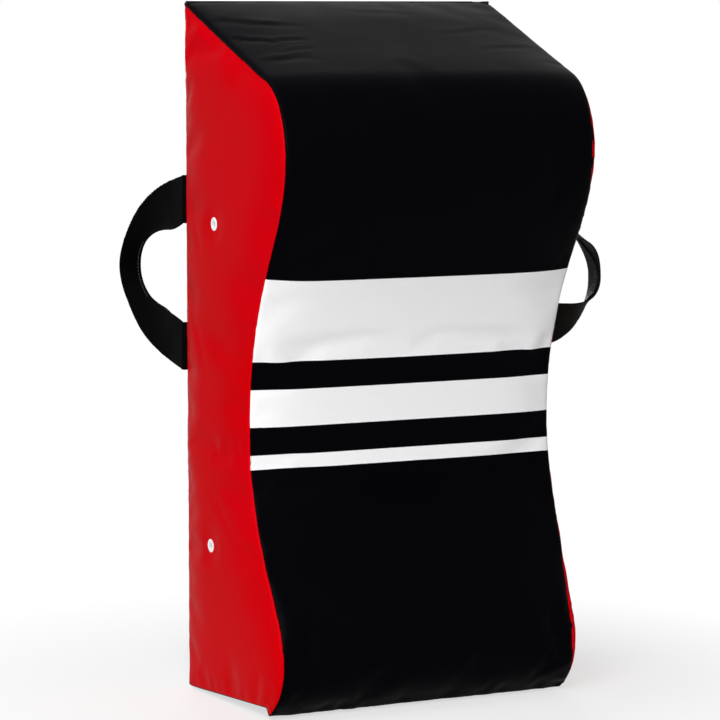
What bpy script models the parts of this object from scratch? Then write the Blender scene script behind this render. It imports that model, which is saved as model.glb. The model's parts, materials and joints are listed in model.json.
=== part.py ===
"""Tackle shield: a contoured foam block in a sewn cover, with two webbing hand loops and a zip on its back.

Metres, +Z up. The origin is the centre of the flat base. The front faces -Y, and X runs across the shield.
An outline point is (depth, height): depth is measured forwards from the back plane.
"""

import math

import bmesh
import bpy
from mathutils import Vector
from mathutils.geometry import interpolate_bezier

# The shield from the front
SHIELD_HEIGHT = 0.750
TOP_WIDTH = 0.378
BASE_WIDTH = 0.363

# The shield from the side: each place where the front turns, and how far each curve keeps straight there.
# A drop is measured down from the top.
SHOULDER_DEPTH = 0.190
SHOULDER_DROP = 0.074
SHOULDER_PULL = 0.032
BROW_DEPTH = 0.235
BROW_DROP = 0.156
BROW_PULL_ABOVE = 0.030
BROW_PULL_BELOW = 0.090
WAIST_DEPTH = 0.149
WAIST_HEIGHT = 0.298
WAIST_PULL_ABOVE = 0.165
WAIST_PULL_BELOW = 0.130
BUMPER_DEPTH = 0.224
BUMPER_HEIGHT = 0.062
BUMPER_PULL_ABOVE = 0.061
BUMPER_PULL_BELOW = 0.030
TOE_DEPTH = 0.192
TOE_PULL = 0.020
TOE_ANGLE = math.radians(35)

# The padding's fullness: how far each face swells, and how far from a seam it takes to fill out
FRONT_CROWN = 0.006
SIDE_CROWN = 0.006
CROWN_RUN = 0.070
CROWN_POWER = 6
SIDE_CROWN_POWER = 4

# The cover and the foam
COVER_THICKNESS = 0.0015
BASE_THICKNESS = 0.0020
SEAM_GAP = 0.0003
BACKING_THICKNESS = 0.045

# Vent eyelets, placed by (depth, height)
UPPER_VENT = (0.082, 0.516)
LOWER_VENT = (0.070, 0.168)
EYELET_BORE_RADIUS = 0.0036
EYELET_WALL = 0.0007
EYELET_FLANGE_RADIUS = 0.0073
EYELET_FLANGE_RISE = 0.0013
EYELET_LIP_RADIUS = 0.0058
EYELET_LIP_THICKNESS = 0.0007
WASHER_RADIUS = 0.0088
WASHER_THICKNESS = 0.0008
VENT_CLEARANCE = 0.0005

# Webbing hand loops
WEBBING_WIDTH = 0.051
WEBBING_THICKNESS = 0.0018
GRIP_THICKNESS = 0.0039
LOOP_REACH = 0.145
LOOP_TIP_HEIGHT = 0.459
UPPER_ROOT_HEIGHT = 0.537
LOWER_ROOT_HEIGHT = 0.377
UPPER_ROOT_PULL = 0.054
LOWER_ROOT_PULL = 0.070
ROOT_ANGLE = math.radians(12)
UPPER_TIP_PULL = 0.052
LOWER_TIP_PULL = 0.043
LEFT_LOOP_ANGLE = math.radians(91)
RIGHT_LOOP_ANGLE = math.radians(-3)
LEFT_LOOP_DROOP = 0.005
RIGHT_LOOP_DROOP = 0.026
ROOT_TURN_SHARE = 0.06
GRIP_START_SHARE = 0.18
GRIP_FULL_SHARE = 0.45
HINGE_OVERHANG = 0.0012
ANCHOR_LENGTH = 0.080
ANCHOR_SETBACK = 0.006
ANCHOR_CORNER = 0.002
PATCH_THICKNESS = 0.0010
PATCH_MARGIN = 0.012
PATCH_CORNER = 0.012

# The zip across the foot of the back
ZIP_HEIGHT = 0.078
ZIP_WINDOW = 0.014
ZIP_END_MARGIN = 0.008
TAPE_THICKNESS = 0.0008
TAPE_TUCK = 0.008
TAPE_SPLIT = 0.0008
TOOTH_PITCH = 0.0042
TOOTH_THICKNESS = 0.0024
TOOTH_ROOT = 0.0024
TOOTH_SHOULDER = 0.0009
TOOTH_TIP = 0.0020
TOOTH_NECK_WIDTH = 0.0011
TOOTH_HEAD_WIDTH = 0.0019
TOOTH_TIP_WIDTH = 0.0012
TOOTH_STRIP = 0.0010
STOP_LENGTH = 0.0050
SLIDER_LENGTH = 0.020
SLIDER_PLATE = 0.0012
SLIDER_FLANGE = 0.0012
SLIDER_FLARE = 0.0009
SLIDER_FLARE_SHARE = 0.8
SLIDER_TAPER_SHARE = 0.1
SLIDER_TAIL_SHARE = 0.75
SLIDER_NOSE_SHARE = 0.6
BRIDGE_LENGTH = 0.0130
BRIDGE_BAR = 0.0016
BRIDGE_SINK = 0.0006
PULL_LENGTH = 0.030
PULL_WIDTH = 0.0090
PULL_HEAD_WIDTH = 0.0070
PULL_THICKNESS = 0.0014
BARREL_WALL = 0.0009
RUNNING_GAP = 0.0003

# How finely curves are cut
HEAD_STEPS = 6
SHOULDER_STEPS = 7
LONG_CURVE_STEPS = 10
TOE_STEPS = 6
ACROSS_STEPS = 10
SIDE_STEPS = 6
LOOP_STEPS = 20
NOSE_STEPS = 2
RING_SIDES = 24
CORNER_STEPS = 3
MERGE_DISTANCE = 0.00001
CUT_OVERRUN = 0.010

BACK_Y = TOE_DEPTH / 2
SKIN_FLOOR = BASE_THICKNESS + SEAM_GAP
FOAM_INSET = COVER_THICKNESS + SEAM_GAP
FOAM_BACK_INSET = COVER_THICKNESS + TAPE_THICKNESS + 2 * SEAM_GAP
LEFT, RIGHT = -1, 1


def clear_scene():
    for thing in list(bpy.data.objects):
        bpy.data.objects.remove(thing, do_unlink=True)


def finish(name, colour, roughness, metallic=0.0):
    """A material with one Principled BSDF."""
    material = bpy.data.materials.new(name)
    material.use_nodes = True
    shader = material.node_tree.nodes["Principled BSDF"]
    shader.inputs["Base Color"].default_value = (*colour, 1)
    shader.inputs["Roughness"].default_value = roughness
    shader.inputs["Metallic"].default_value = metallic
    return material


def add_object(name, mesh_maker, material, smooth_angle=math.radians(35)):
    """A new mesh object from a bmesh, cleaned of doubled points, in triangles that face outwards."""
    bmesh.ops.remove_doubles(mesh_maker, verts=mesh_maker.verts, dist=MERGE_DISTANCE)
    bmesh.ops.dissolve_degenerate(mesh_maker, edges=mesh_maker.edges, dist=MERGE_DISTANCE)
    bmesh.ops.triangulate(mesh_maker, faces=mesh_maker.faces)
    bmesh.ops.recalc_face_normals(mesh_maker, faces=mesh_maker.faces)
    mesh = bpy.data.meshes.new(name)
    mesh_maker.to_mesh(mesh)
    mesh_maker.free()
    mesh.materials.append(material)
    mesh.shade_smooth()
    mesh.set_sharp_from_angle(angle=smooth_angle)
    thing = bpy.data.objects.new(name, mesh)
    bpy.context.scene.collection.objects.link(thing)
    return thing


def make_helper(thing):
    """Keeps a cutter or a piece to be joined out of the model itself."""
    thing.hide_render = True
    thing.display_type = "WIRE"
    return thing


def combine(thing, helper, operation):
    modifier = thing.modifiers.new(helper.name, "BOOLEAN")
    modifier.operation = operation
    modifier.object = helper
    modifier.solver = "EXACT"


def add_grid(mesh_maker, rows):
    """Points and quads of one sheet. Returns the points, row by row."""
    points = [[mesh_maker.verts.new(point) for point in row] for row in rows]
    for upper, lower in zip(points, points[1:]):
        for column in range(len(upper) - 1):
            mesh_maker.faces.new((upper[column], upper[column + 1], lower[column + 1], lower[column]))
    return points


def rim_of(points):
    """The points round the edge of a grid, in order."""
    left = [row[0] for row in points]
    right = [row[-1] for row in points]
    return points[0][:-1] + right[:-1] + points[-1][:0:-1] + left[:0:-1]


def thick_sheet(name, outer_rows, inner_rows, material):
    """A closed panel between an outer and an inner sheet of the same grid."""
    maker = bmesh.new()
    outer = rim_of(add_grid(maker, outer_rows))
    inner = rim_of(add_grid(maker, inner_rows))
    for index in range(len(outer)):
        maker.faces.new((outer[index - 1], outer[index], inner[index], inner[index - 1]))
    return add_object(name, maker, material)


def extruded(name, outline, along, material, smooth_angle=math.radians(35)):
    """A flat outline of 3-D points, extruded along a vector."""
    maker = bmesh.new()
    face = maker.faces.new([maker.verts.new(point) for point in outline])
    result = bmesh.ops.extrude_face_region(maker, geom=[face])
    moved = [item for item in result["geom"] if isinstance(item, bmesh.types.BMVert)]
    bmesh.ops.translate(maker, verts=moved, vec=along)
    return add_object(name, maker, material, smooth_angle)


def box(name, low, high, material):
    floor = ((low[0], low[1]), (high[0], low[1]), (high[0], high[1]), (low[0], high[1]))
    corners = [(across, depth, low[2]) for across, depth in floor]
    return extruded(name, corners, Vector((0, 0, high[2] - low[2])), material)


def lofted(name, rings, material):
    """Rings of points joined one to the next, with both ends closed."""
    maker = bmesh.new()
    points = [[maker.verts.new(point) for point in ring] for ring in rings]
    for ring, after in zip(points, points[1:]):
        for index in range(len(ring)):
            maker.faces.new((ring[index - 1], ring[index], after[index], after[index - 1]))
    maker.faces.new(points[0])
    maker.faces.new(points[-1])
    return add_object(name, maker, material)


def turned(name, profile, material):
    """A closed profile of (radius, distance along X) spun about the X axis."""
    maker = bmesh.new()
    points = [maker.verts.new((along, 0, radius)) for radius, along in profile]
    edges = [maker.edges.new((points[index - 1], points[index])) for index in range(len(points))]
    bmesh.ops.spin(
        maker, geom=points + edges, axis=Vector((1, 0, 0)), angle=math.tau, steps=RING_SIDES, use_merge=True
    )
    return add_object(name, maker, material)


def rod(name, centre, axis_length, radius, material):
    """A solid round rod along X, for cutting and joining."""
    turns = [math.tau * side / RING_SIDES for side in range(RING_SIDES)]
    ring = [(-axis_length / 2, radius * math.cos(turn), radius * math.sin(turn)) for turn in turns]
    thing = extruded(name, ring, Vector((axis_length, 0, 0)), material)
    thing.location = centre
    return thing


def rounded_rectangle(low, high, corner):
    """(across, up) points of a rectangle with round corners."""
    points = []
    centres = ((high[0] - corner, high[1] - corner), (low[0] + corner, high[1] - corner))
    centres += ((low[0] + corner, low[1] + corner), (high[0] - corner, low[1] + corner))
    for quarter, centre in enumerate(centres):
        for step in range(CORNER_STEPS + 1):
            turn = math.pi / 2 * (quarter + step / CORNER_STEPS)
            points.append((centre[0] + corner * math.cos(turn), centre[1] + corner * math.sin(turn)))
    return points


def curve(start, start_pull, end_pull, end, steps):
    """Points of a Bezier curve between two outline points, without its first point."""
    knots = [Vector((0, *point)) for point in (start, start_pull, end_pull, end)]
    return [Vector((point.y, point.z)) for point in interpolate_bezier(*knots, steps + 1)[1:]]


def front_outline():
    """The side view of the front skin as (depth, height), from the back top edge down to the toe."""
    head = Vector((0, SHIELD_HEIGHT))
    shoulder = Vector((SHOULDER_DEPTH, SHIELD_HEIGHT - SHOULDER_DROP))
    brow = Vector((BROW_DEPTH, SHIELD_HEIGHT - BROW_DROP))
    waist = Vector((WAIST_DEPTH, WAIST_HEIGHT))
    bumper = Vector((BUMPER_DEPTH, BUMPER_HEIGHT))
    toe = Vector((TOE_DEPTH, SKIN_FLOOR))
    down = Vector((0, -1))
    slope = (shoulder - head).normalized()
    toe_rise = Vector((math.cos(TOE_ANGLE), math.sin(TOE_ANGLE)))
    points = [head.lerp(shoulder, step / HEAD_STEPS) for step in range(HEAD_STEPS + 1)]
    points += curve(
        shoulder, shoulder + slope * SHOULDER_PULL, brow - down * BROW_PULL_ABOVE, brow, SHOULDER_STEPS
    )
    points += curve(
        brow, brow + down * BROW_PULL_BELOW, waist - down * WAIST_PULL_ABOVE, waist, LONG_CURVE_STEPS
    )
    points += curve(
        waist, waist + down * WAIST_PULL_BELOW, bumper - down * BUMPER_PULL_ABOVE, bumper, LONG_CURVE_STEPS
    )
    points += curve(bumper, bumper + down * BUMPER_PULL_BELOW, toe + toe_rise * TOE_PULL, toe, TOE_STEPS)
    return points


def outline_normals(points):
    """The outward direction at each outline point."""
    normals = []
    for index in range(len(points)):
        before = points[max(index - 1, 0)]
        after = points[min(index + 1, len(points) - 1)]
        run = (after - before).normalized()
        normals.append(Vector((-run.y, run.x)))
    return normals


OUTLINE = front_outline()
NORMALS = outline_normals(OUTLINE)


def slide_to(end, inner, axis, value):
    """The point on the line through end and inner whose depth (axis 0) or height (axis 1) has this value."""
    return end.lerp(inner, (value - end[axis]) / (inner[axis] - end[axis]))


def inset_outline(inset, back_inset):
    """The outline moved inwards, with its ends on the back plane's inset and on the base."""
    points = [point - normal * inset for point, normal in zip(OUTLINE, NORMALS)]
    points[0] = slide_to(points[0], points[1], 0, back_inset)
    points[-1] = slide_to(points[-1], points[-2], 1, SKIN_FLOOR)
    return points


def fullness(index):
    """How full the padding is at an outline point: nothing at the two end seams, 1 away from them."""
    run = [(after - before).length for before, after in zip(OUTLINE, OUTLINE[1:])]
    nearest_seam = min(sum(run[:index]), sum(run[index:]))
    return math.sin(math.pi / 2 * min(1, nearest_seam / CROWN_RUN))


FULLNESS = [fullness(index) for index in range(len(OUTLINE))]


def half_width(height):
    return (BASE_WIDTH + (TOP_WIDTH - BASE_WIDTH) * height / SHIELD_HEIGHT) / 2


def front_rows(inset, side_inset, back_inset=0.0):
    """The front skin as rows of points from left to right, closer together near the side seams."""
    shares = [math.sin(math.pi / 2 * (2 * step / ACROSS_STEPS - 1)) for step in range(ACROSS_STEPS + 1)]
    rows = []
    for index, point in enumerate(inset_outline(inset, back_inset)):
        reach = half_width(point.y) - side_inset
        row = []
        for share in shares:
            swell = FRONT_CROWN * FULLNESS[index] * (1 - abs(share) ** CROWN_POWER)
            place = point + NORMALS[index] * swell
            row.append(Vector((share * reach, BACK_Y - place.x, place.y)))
        rows.append(row)
    return rows


def side_swell(share, amount):
    """How far a side panel stands out at a share of the depth, for a given fullness."""
    return SIDE_CROWN * amount * (1 - abs(2 * share - 1) ** SIDE_CROWN_POWER)


def side_rows(side, inset, outline, back_inset=0.0):
    """A side skin as rows from the back to the front, one at each outline point's height."""
    rows = []
    for index, point in enumerate(outline):
        row = []
        for step in range(SIDE_STEPS + 1):
            share = step / SIDE_STEPS
            across = half_width(point.y) + side_swell(share, FULLNESS[index]) - inset
            depth = back_inset + (point.x - back_inset) * share
            row.append(Vector((side * across, BACK_Y - depth, point.y)))
        rows.append(row)
    return rows


def side_face(place):
    """How far from the middle a side panel's outer face lies at (depth, height)."""
    depth, height = place
    below = next(index for index, point in enumerate(OUTLINE) if point.y < height)
    level = slide_to(OUTLINE[below], OUTLINE[below - 1], 1, height)
    return half_width(height) + side_swell(depth / level.x, FULLNESS[below])


def set_in_side(thing, side, place):
    """Puts a piece or cutter made along X on a side panel at (depth, height), square to the panel."""
    thing.location = Vector((side * side_face(place), BACK_Y - place[0], place[1]))
    thing.rotation_euler.y = side * math.atan((TOP_WIDTH - BASE_WIDTH) / 2 / SHIELD_HEIGHT)
    return thing


def make_cover(black, red):
    """The sewn cover: one strip over the front, two sides, a base and a back split by the zip."""
    seam_inset = COVER_THICKNESS + SEAM_GAP
    outer = front_rows(0, seam_inset)
    inner = front_rows(COVER_THICKNESS, seam_inset)
    thick_sheet("front_panel", outer, inner, black)
    for side, name in ((LEFT, "left_side_panel"), (RIGHT, "right_side_panel")):
        panel = thick_sheet(name, side_rows(side, 0, OUTLINE), side_rows(side, COVER_THICKNESS, OUTLINE), red)
        for vent, place in (("upper", UPPER_VENT), ("lower", LOWER_VENT)):
            radius = EYELET_BORE_RADIUS + EYELET_WALL + SEAM_GAP
            hole = rod(f"{name}_{vent}_hole", Vector(), CUT_OVERRUN, radius, red)
            combine(panel, make_helper(set_in_side(hole, side, place)), "DIFFERENCE")
    floor = half_width(0)
    toe = BACK_Y - TOE_DEPTH
    base = [(-floor, BACK_Y, 0), (floor, BACK_Y, 0), (floor, toe, 0), (-floor, toe, 0)]
    extruded("base_panel", base, Vector((0, 0, BASE_THICKNESS)), black)
    under_head = inset_outline(seam_inset, COVER_THICKNESS)[0].y
    back_piece("back_panel_upper", ZIP_HEIGHT + ZIP_WINDOW / 2, under_head, seam_inset, black)
    back_piece("back_panel_lower", SKIN_FLOOR, ZIP_HEIGHT - ZIP_WINDOW / 2, seam_inset, black)


def back_piece(name, bottom, top, seam_inset, material):
    """A flat piece of the back between the side panels."""
    low, high = half_width(bottom) - seam_inset, half_width(top) - seam_inset
    corners = [(-low, BACK_Y, bottom), (low, BACK_Y, bottom), (high, BACK_Y, top), (-high, BACK_Y, top)]
    extruded(name, corners, Vector((0, -COVER_THICKNESS, 0)), material)


def foam_block(name, material):
    """The whole padding, inside the cover."""
    outline = inset_outline(FOAM_INSET, FOAM_BACK_INSET)
    left = side_rows(LEFT, FOAM_INSET, outline, FOAM_BACK_INSET)
    right = side_rows(RIGHT, FOAM_INSET, outline, FOAM_BACK_INSET)
    front = front_rows(FOAM_INSET, FOAM_INSET, FOAM_BACK_INSET)
    maker = bmesh.new()
    rows = [a[:-1] + middle + b[-2::-1] for a, middle, b in zip(left, front, right)]
    points = add_grid(maker, rows)
    back_edge = points[0][SIDE_STEPS : SIDE_STEPS + ACROSS_STEPS + 1]
    maker.faces.new(back_edge + [row[-1] for row in points[1:]] + [row[0] for row in points[:0:-1]])
    maker.faces.new(points[-1])
    return add_object(name, maker, material)


def make_foam(soft, firm):
    """The soft contoured block and the firm board behind it, both cut from the whole padding."""
    split = BACK_Y - BACKING_THICKNESS
    reach = TOP_WIDTH + BASE_WIDTH
    impact = foam_block("impact_foam", soft)
    backing = foam_block("backing_foam", firm)
    front_low = (-reach, -SHIELD_HEIGHT, -CUT_OVERRUN)
    front_high = (reach, split - SEAM_GAP / 2, SHIELD_HEIGHT + CUT_OVERRUN)
    combine(impact, make_helper(box("front_of_foam", front_low, front_high, soft)), "INTERSECT")
    back_low = (-reach, split + SEAM_GAP / 2, -CUT_OVERRUN)
    back_high = (reach, BACK_Y + CUT_OVERRUN, SHIELD_HEIGHT + CUT_OVERRUN)
    combine(backing, make_helper(box("back_of_foam", back_low, back_high, firm)), "INTERSECT")
    eyelet_depth = COVER_THICKNESS + WASHER_THICKNESS + EYELET_LIP_THICKNESS + 2 * SEAM_GAP
    pocket_depth = eyelet_depth + SEAM_GAP + VENT_CLEARANCE
    for side, side_name in ((LEFT, "left"), (RIGHT, "right")):
        for vent, place in (("upper", UPPER_VENT), ("lower", LOWER_VENT)):
            radius = WASHER_RADIUS + VENT_CLEARANCE
            pocket = rod(f"{side_name}_{vent}_pocket", Vector(), 2 * pocket_depth, radius, soft)
            combine(impact, make_helper(set_in_side(pocket, side, place)), "DIFFERENCE")


def make_vents(metal):
    """A two-part eyelet at each vent: a flanged barrel rolled over a washer on the inside."""
    barrel = EYELET_BORE_RADIUS + EYELET_WALL
    washer_top = -COVER_THICKNESS - SEAM_GAP
    washer_foot = washer_top - WASHER_THICKNESS
    lip_top = washer_foot - SEAM_GAP
    lip_foot = lip_top - EYELET_LIP_THICKNESS
    flange_edge = SEAM_GAP + EYELET_WALL / 2
    eyelet = [
        (EYELET_BORE_RADIUS, EYELET_FLANGE_RISE - EYELET_WALL / 2),
        (barrel, EYELET_FLANGE_RISE),
        (EYELET_FLANGE_RADIUS - EYELET_WALL, EYELET_FLANGE_RISE - EYELET_WALL / 2),
        (EYELET_FLANGE_RADIUS, flange_edge),
        (EYELET_FLANGE_RADIUS - EYELET_WALL / 2, SEAM_GAP),
        (barrel, SEAM_GAP),
        (barrel, lip_top),
        (EYELET_LIP_RADIUS, lip_top),
        (EYELET_LIP_RADIUS - EYELET_WALL / 2, lip_foot),
        (EYELET_BORE_RADIUS, lip_foot),
    ]
    hole = barrel + SEAM_GAP
    rim = WASHER_RADIUS
    washer = [(hole, washer_top), (rim, washer_top), (rim, washer_foot), (hole, washer_foot)]
    for side, side_name in ((LEFT, "left"), (RIGHT, "right")):
        for vent, place in (("upper", UPPER_VENT), ("lower", LOWER_VENT)):
            for kind, profile in (("eyelet", eyelet), ("washer", washer)):
                outward = [(radius, side * along) for radius, along in profile]
                set_in_side(turned(f"{side_name}_{vent}_{kind}", outward, metal), side, place)


def ease(share):
    """0 to 1 with no corner at either end."""
    share = min(max(share, 0), 1)
    return share * share * (3 - 2 * share)


def loop_route():
    """The middle line of a hand loop as (reach, height), from its upper root round to its lower one."""
    upper = Vector((0, UPPER_ROOT_HEIGHT))
    tip = Vector((LOOP_REACH, LOOP_TIP_HEIGHT))
    lower = Vector((0, LOWER_ROOT_HEIGHT))
    upper_pull = UPPER_ROOT_PULL * Vector((math.cos(ROOT_ANGLE), -math.sin(ROOT_ANGLE)))
    lower_pull = LOWER_ROOT_PULL * Vector((math.cos(ROOT_ANGLE), math.sin(ROOT_ANGLE)))
    up = Vector((0, 1))
    points = [upper] + curve(upper, upper + upper_pull, tip + up * UPPER_TIP_PULL, tip, LOOP_STEPS)
    points += curve(tip, tip - up * LOWER_TIP_PULL, lower + lower_pull, lower, LOOP_STEPS)
    return points


def strap_ring(centre, side_axis, width, thickness):
    """A flat eight-cornered section of webbing across its middle line, in the loop's own frame."""
    across, through = side_axis
    nose = thickness / 4
    half, flat = width / 2, thickness / 2
    corners = ((half, nose), (half - nose, flat), (nose - half, flat), (-half, nose))
    corners += ((-half, -nose), (nose - half, -flat), (half - nose, -flat), (half, -nose))
    return [centre + across * a + through * b for a, b in corners]


def root_nose(side, height, upright):
    """Sections that round off the end of a hand loop where it bends over its anchor, from its tip inwards."""
    half = WEBBING_THICKNESS / 2
    axes = (Vector((0, 0, upright)), Vector((0, -side, 0)))
    rings = []
    for step in range(NOSE_STEPS, 0, -1):
        turn = math.pi / 2 * step / (NOSE_STEPS + 1)
        centre = Vector((-half * math.sin(turn), 0, height))
        rings.append(strap_ring(centre, axes, WEBBING_WIDTH, 2 * half * math.cos(turn)))
    return rings


def loop_rings(side, droop):
    """Sections along a hand loop: flat and upright at its roots, folded double and on edge at its grip."""
    route = loop_route()
    steps = [(after - before).length for before, after in zip(route, route[1:])]
    normals = outline_normals(route)
    rings = []
    for index, (point, normal) in enumerate(zip(route, normals)):
        share = sum(steps[:index]) / sum(steps)
        from_root = min(share, 1 - share)
        fold = ease((from_root - GRIP_START_SHARE) / (GRIP_FULL_SHARE - GRIP_START_SHARE))
        turn = math.pi / 2 * fold
        upright = Vector((0, 0, math.copysign(1, normal.y)))
        out = upright.lerp(Vector((normal.x, 0, normal.y)), ease(from_root / ROOT_TURN_SHARE)).normalized()
        sideways = Vector((0, -side, 0))
        across = out * math.cos(turn) + sideways * math.sin(turn)
        through = sideways * math.cos(turn) - out * math.sin(turn)
        width = WEBBING_WIDTH * (1 - fold / 2)
        thickness = WEBBING_THICKNESS + (GRIP_THICKNESS - WEBBING_THICKNESS) * fold
        sag = droop * point.x / LOOP_REACH
        centre = Vector((point.x, 0, point.y - sag))
        rings.append(strap_ring(centre, (across, through), width, thickness))
    upper_nose = root_nose(side, UPPER_ROOT_HEIGHT, 1)
    lower_nose = root_nose(side, LOWER_ROOT_HEIGHT, -1)
    return upper_nose + rings + lower_nose[::-1]


def hinge_place(side):
    """Where a hand loop's webbing bends: just off the back corner, level with the middle of its anchors."""
    back = BACK_Y + 2 * SEAM_GAP + PATCH_THICKNESS + WEBBING_THICKNESS / 2
    return Vector((side * (half_width(UPPER_ROOT_HEIGHT) + HINGE_OVERHANG), back, 0))


def make_hand_loops(webbing):
    """The two moving loops, each with its origin on the line that it swings about."""
    loops = (
        ("left_handle_loop", LEFT, math.pi - LEFT_LOOP_ANGLE, LEFT_LOOP_DROOP),
        ("right_handle_loop", RIGHT, RIGHT_LOOP_ANGLE, RIGHT_LOOP_DROOP),
    )
    for name, side, angle, droop in loops:
        loop = lofted(name, loop_rings(side, droop), webbing)
        loop.location = hinge_place(side)
        loop.rotation_euler.z = angle


def make_strap_anchors(webbing, patch_cloth):
    """The sewn ends of the webbing, on a patch at each side of the back."""
    patch_back = BACK_Y + SEAM_GAP
    anchor_back = patch_back + PATCH_THICKNESS + SEAM_GAP
    for side, side_name in ((LEFT, "left"), (RIGHT, "right")):
        hinge = abs(hinge_place(side).x)
        outer, inner = hinge - ANCHOR_SETBACK, hinge - ANCHOR_SETBACK - ANCHOR_LENGTH
        for end, height in (("upper", UPPER_ROOT_HEIGHT), ("lower", LOWER_ROOT_HEIGHT)):
            low = (inner, height - WEBBING_WIDTH / 2)
            high = (outer, height + WEBBING_WIDTH / 2)
            shape = [(side * x, anchor_back, z) for x, z in rounded_rectangle(low, high, ANCHOR_CORNER)]
            extruded(f"{side_name}_{end}_strap_anchor", shape, Vector((0, WEBBING_THICKNESS, 0)), webbing)
        bottom = LOWER_ROOT_HEIGHT - WEBBING_WIDTH / 2 - PATCH_MARGIN
        top = UPPER_ROOT_HEIGHT + WEBBING_WIDTH / 2 + PATCH_MARGIN
        edge = half_width(top)
        outline = rounded_rectangle((inner - PATCH_MARGIN, bottom), (edge, top), PATCH_CORNER)
        shape = [(side * (x - edge + half_width(z)), patch_back, z) for x, z in outline]
        extruded(f"{side_name}_strap_patch", shape, Vector((0, PATCH_THICKNESS, 0)), patch_cloth)


def zip_span():
    """Half the length of the toothed chain."""
    return half_width(ZIP_HEIGHT) - COVER_THICKNESS - ZIP_END_MARGIN - STOP_LENGTH


def teeth_places():
    """The middles along X of the upper row's teeth. The lower row's lie halfway between them."""
    count = int(2 * (zip_span() - TOOTH_PITCH) / TOOTH_PITCH)
    start = -TOOTH_PITCH * (count - 1) / 2
    return [start + TOOTH_PITCH * number for number in range(count)]


def tooth_row(name, row_side, shift, material):
    """A row of teeth on its strip, as a single comb. row_side is 1 for the upper row and -1 for the lower."""
    outline = []
    for middle in teeth_places():
        profile = (
            (-TOOTH_NECK_WIDTH / 2, TOOTH_ROOT),
            (-TOOTH_HEAD_WIDTH / 2, -TOOTH_SHOULDER),
            (-TOOTH_TIP_WIDTH / 2, -TOOTH_TIP),
            (TOOTH_TIP_WIDTH / 2, -TOOTH_TIP),
            (TOOTH_HEAD_WIDTH / 2, -TOOTH_SHOULDER),
            (TOOTH_NECK_WIDTH / 2, TOOTH_ROOT),
        )
        outline += [(middle + shift + along, across) for along, across in profile]
    end = zip_span() - SEAM_GAP
    strip_edge = TOOTH_ROOT + TOOTH_STRIP
    outline += [(end, TOOTH_ROOT), (end, strip_edge), (-end, strip_edge), (-end, TOOTH_ROOT)]
    back = chain_back()
    shape = [(along, back, ZIP_HEIGHT + row_side * across) for along, across in outline]
    return extruded(name, shape, Vector((0, TOOTH_THICKNESS, 0)), material)


def chain_back():
    """The inner face of the teeth, just outside the tapes."""
    return BACK_Y - COVER_THICKNESS


def make_zip(tape_cloth, teeth_plastic, metal):
    """The zip across the foot of the back, closed, with its slider and pull."""
    tape_back = BACK_Y - COVER_THICKNESS - SEAM_GAP - TAPE_THICKNESS
    reach = ZIP_WINDOW / 2 + TAPE_TUCK
    for name, row_side in (("zip_tape_upper", 1), ("zip_tape_lower", -1)):
        near = ZIP_HEIGHT + row_side * TAPE_SPLIT / 2
        far = ZIP_HEIGHT + row_side * reach
        end = half_width(ZIP_HEIGHT - reach) - COVER_THICKNESS - SEAM_GAP
        corners = ((-end, near), (end, near), (end, far), (-end, far))
        shape = [(across, tape_back, height) for across, height in corners]
        extruded(name, shape, Vector((0, TAPE_THICKNESS, 0)), tape_cloth)
    tooth_row("zip_teeth_upper", 1, -TOOTH_PITCH / 4, teeth_plastic)
    tooth_row("zip_teeth_lower", -1, TOOTH_PITCH / 4, teeth_plastic)
    stop_half = TOOTH_ROOT + TOOTH_STRIP
    for name, side in (("zip_left_stop", LEFT), ("zip_right_stop", RIGHT)):
        ends = sorted((side * zip_span(), side * (zip_span() + STOP_LENGTH)))
        low = (ends[0], chain_back(), ZIP_HEIGHT - stop_half)
        high = (ends[1], chain_back() + TOOTH_THICKNESS, ZIP_HEIGHT + stop_half)
        box(name, low, high, teeth_plastic)
    make_slider(metal)
    make_pull(metal)


def slider_place():
    """The middle of the slider's under side, parked at the closed end of the zip."""
    across = zip_span() - RUNNING_GAP - SLIDER_LENGTH / 2
    return Vector((across, chain_back() + TOOTH_THICKNESS + RUNNING_GAP, ZIP_HEIGHT))


def bridge_axis():
    """The middle of the slider's bridge bar, which the pull turns on."""
    barrel = BRIDGE_BAR / math.sqrt(2) + RUNNING_GAP + BARREL_WALL
    return slider_place() + Vector((0, SLIDER_PLATE + RUNNING_GAP + barrel, 0))


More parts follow.
